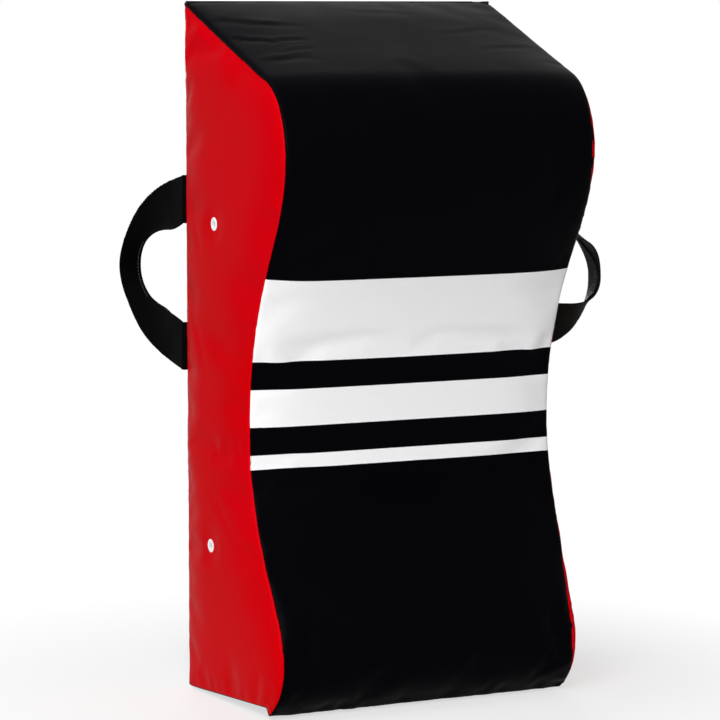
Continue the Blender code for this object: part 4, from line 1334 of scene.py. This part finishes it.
# %% [markdown]
# ## Webbing
# Each hand loop is one length of 50 mm webbing. Its ends lie flat on their patch and are sewn down. From
# there it turns off the shield's edge. Towards the grip one edge is turned over along a slanting line,
# until it lies on the other edge, and the band turns on edge, so the hand holds a double band half as
# wide. A section of the band is drawn for every few millimetres and given the webbing's thickness.

# %% The band's section
WEB_WIDTH = 0.051
WEB_THICKNESS = 0.0018
FOLD_RADIUS = 0.00105
SECTION_STEPS = 44
EDGE_ROUND = 0.8
SECTION_ACROSS = np.linspace(-WEB_WIDTH / 2, WEB_WIDTH / 2, SECTION_STEPS + 1)


def band_section(fold):
    """(out, aside, across) points round a band. Fold is 0 flat and 1 with one edge lying on the other."""
    fold_line = WEB_WIDTH / 2 * (1 - fold) - math.pi / 2 * FOLD_RADIUS * fold
    past = SECTION_ACROSS - fold_line
    turn = np.clip(past / FOLD_RADIUS, 0, math.pi)
    out = np.minimum(SECTION_ACROSS, fold_line) + FOLD_RADIUS * np.sin(turn)
    out = out - np.maximum(past - math.pi * FOLD_RADIUS, 0)
    aside = FOLD_RADIUS * (1 - np.cos(turn))
    out, aside = out - (out.max() + out.min()) / 2, aside - aside.max() / 2
    half = WEB_THICKNESS / 2
    outer = np.stack([out + np.sin(turn) * half, aside - np.cos(turn) * half, SECTION_ACROSS], axis=1)
    inner = np.stack([out - np.sin(turn) * half, aside + np.cos(turn) * half, SECTION_ACROSS], axis=1)
    end = float(turn[-1])
    past_edge = half * EDGE_ROUND
    last = (out[-1] + math.cos(end) * past_edge, aside[-1] + math.sin(end) * past_edge, WEB_WIDTH / 2)
    first = (out[0] - past_edge, aside[0], -WEB_WIDTH / 2)
    return np.concatenate([outer, [last], inner[::-1], [first]])


print("section points:", len(band_section(0)))

# %% [markdown]
# The route of a loop is two curves, from its upper root round a tip and back to its lower root, close to
# the solid's. The left loop stands straight back and the right one has flopped out sideways, so each
# route is turned by its own angle about the upright line where the webbing leaves the shield. The pulls say
# how strongly a route holds its direction at the upper root, twice at the tip and at the lower root.

# %% The band's route
ROOTS = (0.537, 0.377)
TIP = Vector((0.145, 0.459, 0))
ROOT_ANGLE = math.radians(12)
LOOPS = {"left": (-1, math.radians(91), 0.0046), "right": (1, math.radians(-3), 0.0252)}
PULLS = {"left": (0.0454, 0.0451, 0.0402, 0.0605), "right": (0.0808, 0.0616, 0.0516, 0.0736)}
ROUTE_STEPS = 60


def loop_route(side, droop):
    """(reach, height) points of a loop, the share of its length at each, and its outward normals."""
    upper, lower = Vector((0, ROOTS[0], 0)), Vector((0, ROOTS[1], 0))
    out = Vector((math.cos(ROOT_ANGLE), 0, 0))
    rise = Vector((0, math.sin(ROOT_ANGLE), 0))
    up = Vector((0, 1, 0))
    pulls = PULLS["left" if side < 0 else "right"]
    above = (upper, upper + (out - rise) * pulls[0], TIP + up * pulls[1], TIP)
    below = (TIP, TIP - up * pulls[2], lower + (out + rise) * pulls[3], lower)
    route = interpolate_bezier(*above, ROUTE_STEPS) + interpolate_bezier(*below, ROUTE_STEPS)[1:]
    points = np.array(route)[:, :2]
    run, normals = run_along(points), square_to(points)
    points[:, 1] -= droop * points[:, 0] / TIP.x
    return points, run / run[-1], normals


for name, (side, _, droop) in LOOPS.items():
    print(name, "loop reaches", round(float(loop_route(side, droop)[0][:, 0].max()) * 1000), "mm")

# %% [markdown]
# Each leg narrows and turns on edge over its own stretch, as the photograph shows. The tables give the
# shares of the loop's length, from its root, at which that starts and is full: first for the upper leg and
# then for the lower one.

# %% How a leg folds and turns
HINGE_OUT, HINGE_BACK = 0.18808, 0.0985
ROOT_TURN_SHARE = 0.06
FOLDS = {"left": ((0.036, 0.440), (0.047, 0.390)), "right": ((0.291, 0.498), (0.145, 0.483))}
TURNS = {"left": ((0.024, 0.479), (0.069, 0.485)), "right": ((0.091, 0.446), (0.240, 0.500))}
ON_EDGE = {"left": math.radians(93), "right": math.radians(-88.5)}


def way_out(side, angle):
    """Where a loop that has swung by an angle points, and the way its inner face looks."""
    return (Vector((side * math.cos(angle), math.sin(angle), 0)),
            Vector((side * math.sin(angle), -math.cos(angle), 0)))


def share_of(from_root, stretch):
    """How far a change that happens over a stretch of the loop has come."""
    start, full = stretch
    return float(ease((from_root - start) / (full - start)))


def loop_frames(side, angle, droop):
    """Middle, out, aside and fold for every section of the free loop."""
    forth, aside = way_out(side, angle)
    name = "left" if side < 0 else "right"
    frames = []
    for point, share, normal in zip(*loop_route(side, droop)):
        leg, from_root = (0, share) if share < 0.5 else (1, 1 - share)
        upright = Vector((0, 0, math.copysign(1, normal[1])))
        in_plane = forth * float(normal[0]) + Vector((0, 0, float(normal[1])))
        out = upright.lerp(in_plane, float(ease(from_root / ROOT_TURN_SHARE))).normalized()
        turn = ON_EDGE[name] * share_of(from_root, TURNS[name][leg])
        turned_out = out * math.cos(turn) + aside * math.sin(turn)
        turned_aside = aside * math.cos(turn) - out * math.sin(turn)
        middle = Vector((side * HINGE_OUT, HINGE_BACK, float(point[1]))) + forth * float(point[0])
        frames.append((middle, turned_out, turned_aside, share_of(from_root, FOLDS[name][leg])))
    return frames


print("sections in a loop:", len(loop_frames(*LOOPS["left"])))

# %% [markdown]
# The sewn ends lie flat on their patches, a hair deeper than the free band, because the thread pulls them
# in. A small bend joins each end to its loop. Its angle is the angle the loop has swung by.

# %% The sewn ends
ANCHOR_LENGTH = 0.080
ANCHOR_SETBACK = 0.006
ANCHOR_SINK = 0.00035
ANCHOR_STEPS = 24
SINK_RUN = 0.012
BEND = 0.0035
BEND_STEPS = 7
BEND_CLEAR = 0.001


def sewn_frames(side, angle, height, upright):
    """Sections from a sewn end's tip to where the loop leaves, round a small bend."""
    frames = []
    for step in np.linspace(ANCHOR_SETBACK + ANCHOR_LENGTH, ANCHOR_SETBACK, ANCHOR_STEPS):
        back = HINGE_BACK - ANCHOR_SINK * float(ease((step - BEND) / SINK_RUN))
        frames.append((Vector((side * (HINGE_OUT - step), back, height)), upright, -Vector(Y), 0))
    corner = Vector((side * HINGE_OUT, HINGE_BACK, height))
    start, end = corner - side * BEND * Vector(X), corner + BEND * way_out(side, angle)[0]
    for share in np.linspace(0, 1, BEND_STEPS):
        middle = start.lerp(corner, share).lerp(corner.lerp(end, share), share)
        frames.append((middle, upright, way_out(side, angle * share)[1], 0))
    return frames


def band_frames(side, angle, droop):
    """Every section of one length of webbing, from the tip of its upper end to the tip of its lower one."""
    hinge = Vector((side * HINGE_OUT, HINGE_BACK, 0))
    loop = [frame for frame in loop_frames(side, angle, droop)
            if (frame[0].xy - hinge.xy).length > BEND + BEND_CLEAR]
    upper = sewn_frames(side, angle, ROOTS[0], Vector((0, 0, 1)))
    lower = sewn_frames(side, angle, ROOTS[1], Vector((0, 0, -1)))
    return upper + loop + lower[::-1]


def on_band(frame, place):
    """A place of the section, (out, aside, across), in space."""
    middle, out, aside, _ = frame
    return np.array(middle) + place[..., :1] * np.array(out) - place[..., 1:2] * np.array(aside)


print("sections in a band:", {name: len(band_frames(*loop)) for name, loop in LOOPS.items()})

# %% [markdown]
# Neighbouring sections are joined by faces, and the two tips are closed. When a loop swings, its band has
# to bend at the hinge and stay whole, so it is blended from the shield to the loop over a few millimetres.


# %% Make the two bands
SHARP_EDGE = math.radians(60)


def band_piece(name, frames, finish):
    """The mesh of one band, with its length across and along as its pattern."""
    run = run_along(np.array([frame[0] for frame in frames]))
    sections = [band_section(frame[3]) for frame in frames]
    rings = np.array([on_band(frame, section) for frame, section in zip(frames, sections)])
    pattern = np.array([np.stack([section[:, 2], np.full(len(section), place)], axis=1)
                        for section, place in zip(sections, run)])
    count, around = rings.shape[:2]
    numbers = np.arange(count)[:, None] * around + np.append(np.arange(around), 0)
    tips = [list(range(around))[::-1], list(range((count - 1) * around, count * around))]
    faces = quads(numbers, False) + tips
    mesh = bpy.data.meshes.new(name)
    mesh.from_pydata(rings.reshape(-1, 3).tolist(), [], faces)
    lay_pattern(mesh, pattern)
    maker = bmesh.new()
    maker.from_mesh(mesh)
    bmesh.ops.recalc_face_normals(maker, faces=maker.faces)
    maker.to_mesh(mesh)
    maker.free()
    mesh.shade_smooth()
    mesh.set_sharp_from_angle(angle=SHARP_EDGE)
    print(name, "is", round(float(run[-1]) * 1000), "mm of webbing")
    return new_thing(name, mesh, finish)


for name, (side, angle, droop) in LOOPS.items():
    band = band_piece(f"{name}_webbing", band_frames(side, angle, droop), webbing[name])
    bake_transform(band)
    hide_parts(f"{name}_handle_loop", f"{name}_upper_strap_anchor", f"{name}_lower_strap_anchor")

# %% [markdown]
# ## Stitching
# Stitches carry every load on this cover, so they are modelled and not painted. Each stitch is a short
# arched thread whose ends dive into the cloth. One helper lays them along any line of points: a box with
# a cross on each strap end, a row round each patch, and a row above and below the zip.

# %% One stitch
THREAD_RADIUS = 0.00036
STITCH_PITCH = 0.0036
STITCH_LENGTH = 0.0029
THREAD_SIDES = 6
THREAD_RINGS = (0, 0.18, 0.5, 0.82, 1)
POINTS_EACH = len(THREAD_RINGS) * THREAD_SIDES
ARCH_START, ARCH_SPAN = 0.12, 0.76
THIN_END, THICK_MORE = 0.55, 0.45
ARCH_RISE, ARCH_SINK = 1.5, 0.9


def one_stitch(start, end, outward):
    """Rings of points round one arched thread."""
    along = end - start
    aside = np.cross(outward, along / np.linalg.norm(along))
    rings = []
    for share in THREAD_RINGS:
        arch = math.sin(math.pi * (ARCH_START + ARCH_SPAN * share))
        thick = THREAD_RADIUS * (THIN_END + THICK_MORE * arch)
        middle = start + along * share + outward * (THREAD_RADIUS * (ARCH_RISE * arch - ARCH_SINK))
        rings.append([middle + thick * (math.cos(turn) * aside + math.sin(turn) * outward)
                      for turn in np.linspace(0, 2 * np.pi, THREAD_SIDES, endpoint=False)])
    return np.array(rings)


def stitch_faces(first):
    """The faces of one stitch whose points start at a number: its sides and its two ends."""
    numbers = first + np.arange(POINTS_EACH).reshape(len(THREAD_RINGS), THREAD_SIDES)
    sides = quads(np.concatenate([numbers, numbers[:, :1]], axis=1), False)
    return sides + [numbers[0].tolist()[::-1], numbers[-1].tolist()]


print("points in a stitch:", POINTS_EACH, "and faces:", len(stitch_faces(0)))

# %% [markdown]
# A sewing machine keeps its pitch, so the stitches are spread evenly along each line. Every stitch of one
# seam goes into one object, which keeps the list of pieces short.


# %% A line of stitches
def read_at(place, run, values):
    """The point or direction at a distance along a line."""
    return np.array([np.interp(place, run, values[:, axis]) for axis in range(3)])


def stitches(name, lines, body):
    """One object with every stitch along lines of points. A line is (points, outward)."""
    points, faces = [], []
    for line, outward in lines:
        line = np.array(line, float)
        outward = np.broadcast_to(np.array(outward, float), line.shape)
        run = run_along(line)
        count = max(1, int(run[-1] / STITCH_PITCH))
        for number in range(count):
            middle = run[-1] * (number + 0.5) / count
            start = read_at(middle - STITCH_LENGTH / 2, run, line)
            end = read_at(middle + STITCH_LENGTH / 2, run, line)
            out = read_at(middle, run, outward)
            faces += stitch_faces(len(points))
            points += one_stitch(start, end, out / np.linalg.norm(out)).reshape(-1, 3).tolist()
    mesh = bpy.data.meshes.new(name)
    mesh.from_pydata(points, [], faces)
    mesh.shade_smooth()
    thing = new_thing(name, mesh, thread_finish)
    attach(thing, body)
    print(name, len(points) // POINTS_EACH, "stitches")


# %% [markdown]
# A strap end gets a box with a cross near the bend, where the load comes in, two rows at its tip, and a
# line along each edge between them. Each patch gets one row inside its free edges.

# %% Where the strap ends are sewn
OUT = (0, 1, 0)
BOX_LENGTH = 0.046
BOX_MARGIN = 0.006
TIP_MARGIN, TIP_ROWS_APART = 0.005, 0.004
EDGE_MARGIN = 0.0045
SEAM_MARGIN = 0.006


def box_stitch(side, root):
    """The lines of stitches that hold one strap end."""
    top = HINGE_BACK - ANCHOR_SINK + WEB_THICKNESS / 2
    outer = HINGE_OUT - ANCHOR_SETBACK - BOX_MARGIN
    tip = HINGE_OUT - ANCHOR_SETBACK - ANCHOR_LENGTH + TIP_MARGIN
    middle = outer - BOX_LENGTH
    low, high = root - WEB_WIDTH / 2 + EDGE_MARGIN, root + WEB_WIDTH / 2 - EDGE_MARGIN
    second = tip + TIP_ROWS_APART
    pairs = [((outer, low), (outer, high)), ((outer, high), (middle, high)), ((middle, high), (middle, low)),
             ((middle, low), (outer, low)), ((outer, low), (middle, high)), ((outer, high), (middle, low)),
             ((tip, low), (tip, high)), ((second, low), (second, high)),
             ((tip, low), (middle, low)), ((tip, high), (middle, high))]
    return [([(side * x, top, z) for x, z in pair], OUT) for pair in pairs]


def patch_row(low, high, side):
    """A row of stitches inside a patch's free edges, round its two inner corners."""
    inner = min(abs(low.x), abs(high.x)) + EDGE_MARGIN
    bottom, top = low.z + EDGE_MARGIN, high.z - EDGE_MARGIN
    bend = PATCH_CORNER - EDGE_MARGIN
    route = [(half_width(top) - SEAM_MARGIN, top)]
    quarter = np.linspace(0, np.pi / 2, 7)
    route += [(inner + bend - bend * math.sin(turn), top - bend + bend * math.cos(turn)) for turn in quarter]
    for turn in quarter:
        route.append((inner + bend - bend * math.cos(turn), bottom + bend - bend * math.sin(turn)))
    route.append((half_width(bottom) - SEAM_MARGIN, bottom))
    return [([(side * x, high.y, z) for x, z in route], OUT)]


print("lines on a strap end:", len(box_stitch(1, ROOTS[0])))

# %% [markdown]
# The lines are turned into stitches. The zip gets a long row above and below its window, which holds the
# back's turned hems down on the tapes.

# %% Sew the back
ZIP_ROW = 0.0035
for name, side in SIDE_OF.items():
    lines = box_stitch(side, ROOTS[0]) + box_stitch(side, ROOTS[1])
    stitches(f"{name}_strap_stitching", lines, "shield")
    row = patch_row(*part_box(f"{name}_strap_patch"), side)
    stitches(f"{name}_patch_stitching", row, "shield")
zip_rows = []
for height in (ZIP_HEIGHT + ZIP_WINDOW / 2 + ZIP_ROW, ZIP_HEIGHT - ZIP_WINDOW / 2 - ZIP_ROW):
    reach = half_width(height) - SEAM_MARGIN
    zip_rows.append((((-reach, BACK_Y, height), (reach, BACK_Y, height)), OUT))
stitches("zip_stitching", zip_rows, "shield")

# %% [markdown]
# The fold of each grip is held by a row of stitches near its open edges. It belongs to the moving loop, so
# it rides on the loop's own body and swings with it.

# %% Sew the grips
GRIP_MARGIN = 0.004
FULLY_FOLDED = 0.97


def grip_rows(side, angle, droop):
    """A row on each outer face of the grip, a little in from its open edges."""
    frames = [frame for frame in loop_frames(side, angle, droop) if frame[3] > FULLY_FOLDED]
    rows = []
    for sign in (1, -1):
        row = []
        for frame in frames:
            outer = band_section(frame[3])[:SECTION_STEPS + 1]
            from_row = np.abs(outer[:, 2] - sign * (WEB_WIDTH / 2 - GRIP_MARGIN))
            row.append(on_band(frame, outer[np.argmin(from_row)]))
        rows.append((row, np.array([frame[2] for frame in frames]) * -sign))
    return rows


for name, loop in LOOPS.items():
    stitches(f"{name}_grip_stitching", grip_rows(*loop), f"{name}_loop")

# %% [markdown]
# ## Zip tapes
# The foam goes in and out through a zip across the foot of the back. The teeth, stops, slider and pull are
# rigid, so their solids stay. The two woven tapes that carry the teeth are soft, so they are drawn again
# as cloth with a fine weave, tucked under the hems of the back.

# %% Zip tapes
TAPE_RIPPLE, RIPPLE_ACROSS, RIPPLE_UP = 0.00008, 190, 260
TAPE_COLUMNS, TAPE_ROWS = 120, 14
for name in ("upper", "lower"):
    low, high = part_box(f"zip_tape_{name}")
    columns, rows = np.linspace(low.x, high.x, TAPE_COLUMNS), np.linspace(low.z, high.z, TAPE_ROWS)
    points = np.array([[(x, high.y + TAPE_RIPPLE * math.sin(x * RIPPLE_ACROSS + z * RIPPLE_UP), z)
                        for x in columns] for z in rows])
    tape = cloth_piece(f"zip_tape_cloth_{name}", points, points[..., [0, 2]], tape_cloth, turned=True,
                       thickness=high.y - low.y)
    stand_in(tape, "shield", "zip_tape", f"zip_tape_{name}")
    print(tape.name, points.shape[:2])

# %% [markdown]
# ## Finishes of the solids that stay
# The eyelets, washers, teeth, stops, slider and pull keep their own shapes. A small bevel catches light
# along the edges of the eyelets, stops, slider and pull, as rolled or cast metal does. Every solid gets
# the finish of its material slot.

# %% Finish the carried-over solids
SOFT_EDGE, SHARP_FROM = 0.00022, math.radians(35)
SLOT_FINISH = {
    "nickel": nickel, "zip_teeth": zip_plastic, "zip_metal": zip_metal, "zip_tape": tape_cloth,
    "webbing": webbing["left"], "patch_vinyl": patch_vinyl, "soft_foam": soft_foam, "firm_foam": firm_foam,
    "black_vinyl": black_vinyl, "red_vinyl": red_vinyl,
}
slot_of = {part["node"]: part["material_slot"] for part in frame["record"]["subparts"]}
for node, thing in frame["nodes"].items():
    thing.data.materials.clear()
    thing.data.materials.append(SLOT_FINISH[slot_of[node]].material)
for node in ("zip_slider", "zip_pull", "zip_left_stop", "zip_right_stop", *VENTS):
    bevel = frame["nodes"][node].modifiers.new("soft_edge", "BEVEL")
    bevel.width = SOFT_EDGE
    bevel.segments = 2
    bevel.limit_method = "ANGLE"
    bevel.angle_limit = SHARP_FROM
print("solids that stay:", sorted(node for node, thing in frame["nodes"].items() if not thing.hide_render))

# %% [markdown]
# ## The floor and the backdrop
# The shield stands on a pale floor that fades into a white backdrop. The floor is plain diffuse white near
# the shield, so it takes a soft shadow. What the camera sees of it, directly or mirrored in metal or vinyl,
# turns to pure white further out. That costs no light on the shield, because only those rays see it.

# %% Floor
FLOOR_SIZE = 1.4
FLOOR_DROP = 0.0002
FADE_STARTS, FADE_ENDS, LEAST_WHITE = 0.27, 0.62, 0.62


def white_floor():
    finish = Finish("pale_floor", (0.86, 0.86, 0.86), 0.8, Specular_IOR_Level=0.1)
    rays = finish.node("ShaderNodeLightPath").outputs
    away = finish.node("ShaderNodeVectorMath", {"operation": "LENGTH"}, i0=finish.place()).outputs["Value"]
    fade = finish.spread(away, FADE_STARTS, FADE_ENDS, LEAST_WHITE, 1.0)
    glow = finish.node("ShaderNodeEmission", Color=(1, 1, 1, 1), Strength=1.0).outputs[0]
    seen = finish.calc("MAXIMUM", rays["Is Camera Ray"],
                       finish.calc("MAXIMUM", rays["Is Glossy Ray"], rays["Is Transmission Ray"]))
    share = finish.calc("MULTIPLY", fade, seen)
    mixed = finish.node("ShaderNodeMixShader", i0=share, i1=finish.shader.outputs[0], i2=glow).outputs[0]
    finish.tree.links.new(mixed, finish.tree.nodes["Material Output"].inputs["Surface"])
    return finish


ring = np.linspace(-FLOOR_SIZE, FLOOR_SIZE, 9)
floor_points = np.array([[(x, y, -FLOOR_DROP) for x in ring] for y in ring])
floor = cloth_piece("floor", floor_points, floor_points[..., :2], white_floor(), turned=False, thickness=0)
floor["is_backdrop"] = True
print("floor:", [round(size, 2) for size in floor.dimensions], "m")

# %% [markdown]
# ## The light
# Large soft lamps do most of the work. The main one stands to the left and front: it lights the red side
# and, at a slant, the black front. A top lamp fills the head and the floor, and a back lamp shows the
# straps and the zip to whoever walks round.


# %% Lamps
def lamp(name, place, target, size, power):
    light = bpy.data.lights.new(name, "AREA")
    light.shape = "RECTANGLE"
    light.size, light.size_y = size
    light.energy = power
    thing = bpy.data.objects.new(name, light)
    bpy.context.scene.collection.objects.link(thing)
    thing.location = place
    thing.rotation_euler = (Vector(target) - Vector(place)).to_track_quat("-Z", "Y").to_euler()
    return thing


MIDDLE = (0, 0, 0.38)
lamp("main_lamp", (-2.1, -2.4, 1.75), MIDDLE, (2.3, 2.3), 122)
lamp("top_lamp", (-1.1, -0.2, 2.9), MIDDLE, (1.4, 1.4), 26)
lamp("back_lamp", (1.05, 2.7, 0.55), MIDDLE, (1.3, 0.9), 40)

# %% [markdown]
# The world is white to the camera and in everything that mirrors it. As a light it is dark but for a bright
# part behind and to the right, which keeps the far edges from sinking into black.

# %% World
BRIGHT, DARK = 0.44, 0.011
BEHIND, TO_THE_RIGHT = (0.05, 0.50), (0.15, 0.50)


def ramp(value, span, most):
    """Grows from nothing to the most over a span of the direction's share."""
    made = add_node(tree, "ShaderNodeMapRange", i0=value, i1=span[0], i2=span[1], i3=0.0, i4=most)
    return made.outputs[0]


def combine(operation, first, second):
    return add_node(tree, "ShaderNodeMath", {"operation": operation}, i0=first, i1=second).outputs[0]


world = bpy.data.worlds.new("studio")
bpy.context.scene.world = world
world.use_nodes = True
tree = world.node_tree
around = add_node(tree, "ShaderNodeTexCoord").outputs["Generated"]
direction = add_node(tree, "ShaderNodeSeparateXYZ", i0=around)
far, right = ramp(direction.outputs[1], BEHIND, 1.0), ramp(direction.outputs[0], TO_THE_RIGHT, BRIGHT)
strength = combine("ADD", combine("MULTIPLY", far, right), DARK)
rays = add_node(tree, "ShaderNodeLightPath").outputs
for ray in ("Is Camera Ray", "Is Glossy Ray", "Is Transmission Ray"):
    strength = combine("MAXIMUM", strength, rays[ray])
background = tree.nodes["Background"]
background.inputs[0].default_value = (1, 1, 1, 1)
tree.links.new(strength, background.inputs[1])
print("world nodes:", len(tree.nodes))

# %% [markdown]
# ## The size
# Cloth may stand a little proud of the solids it replaces, but the shield's size is the solids' size. The
# box round every piece that is rendered, but the floor, is measured here.

# %% Sizes and the last line
low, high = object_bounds()
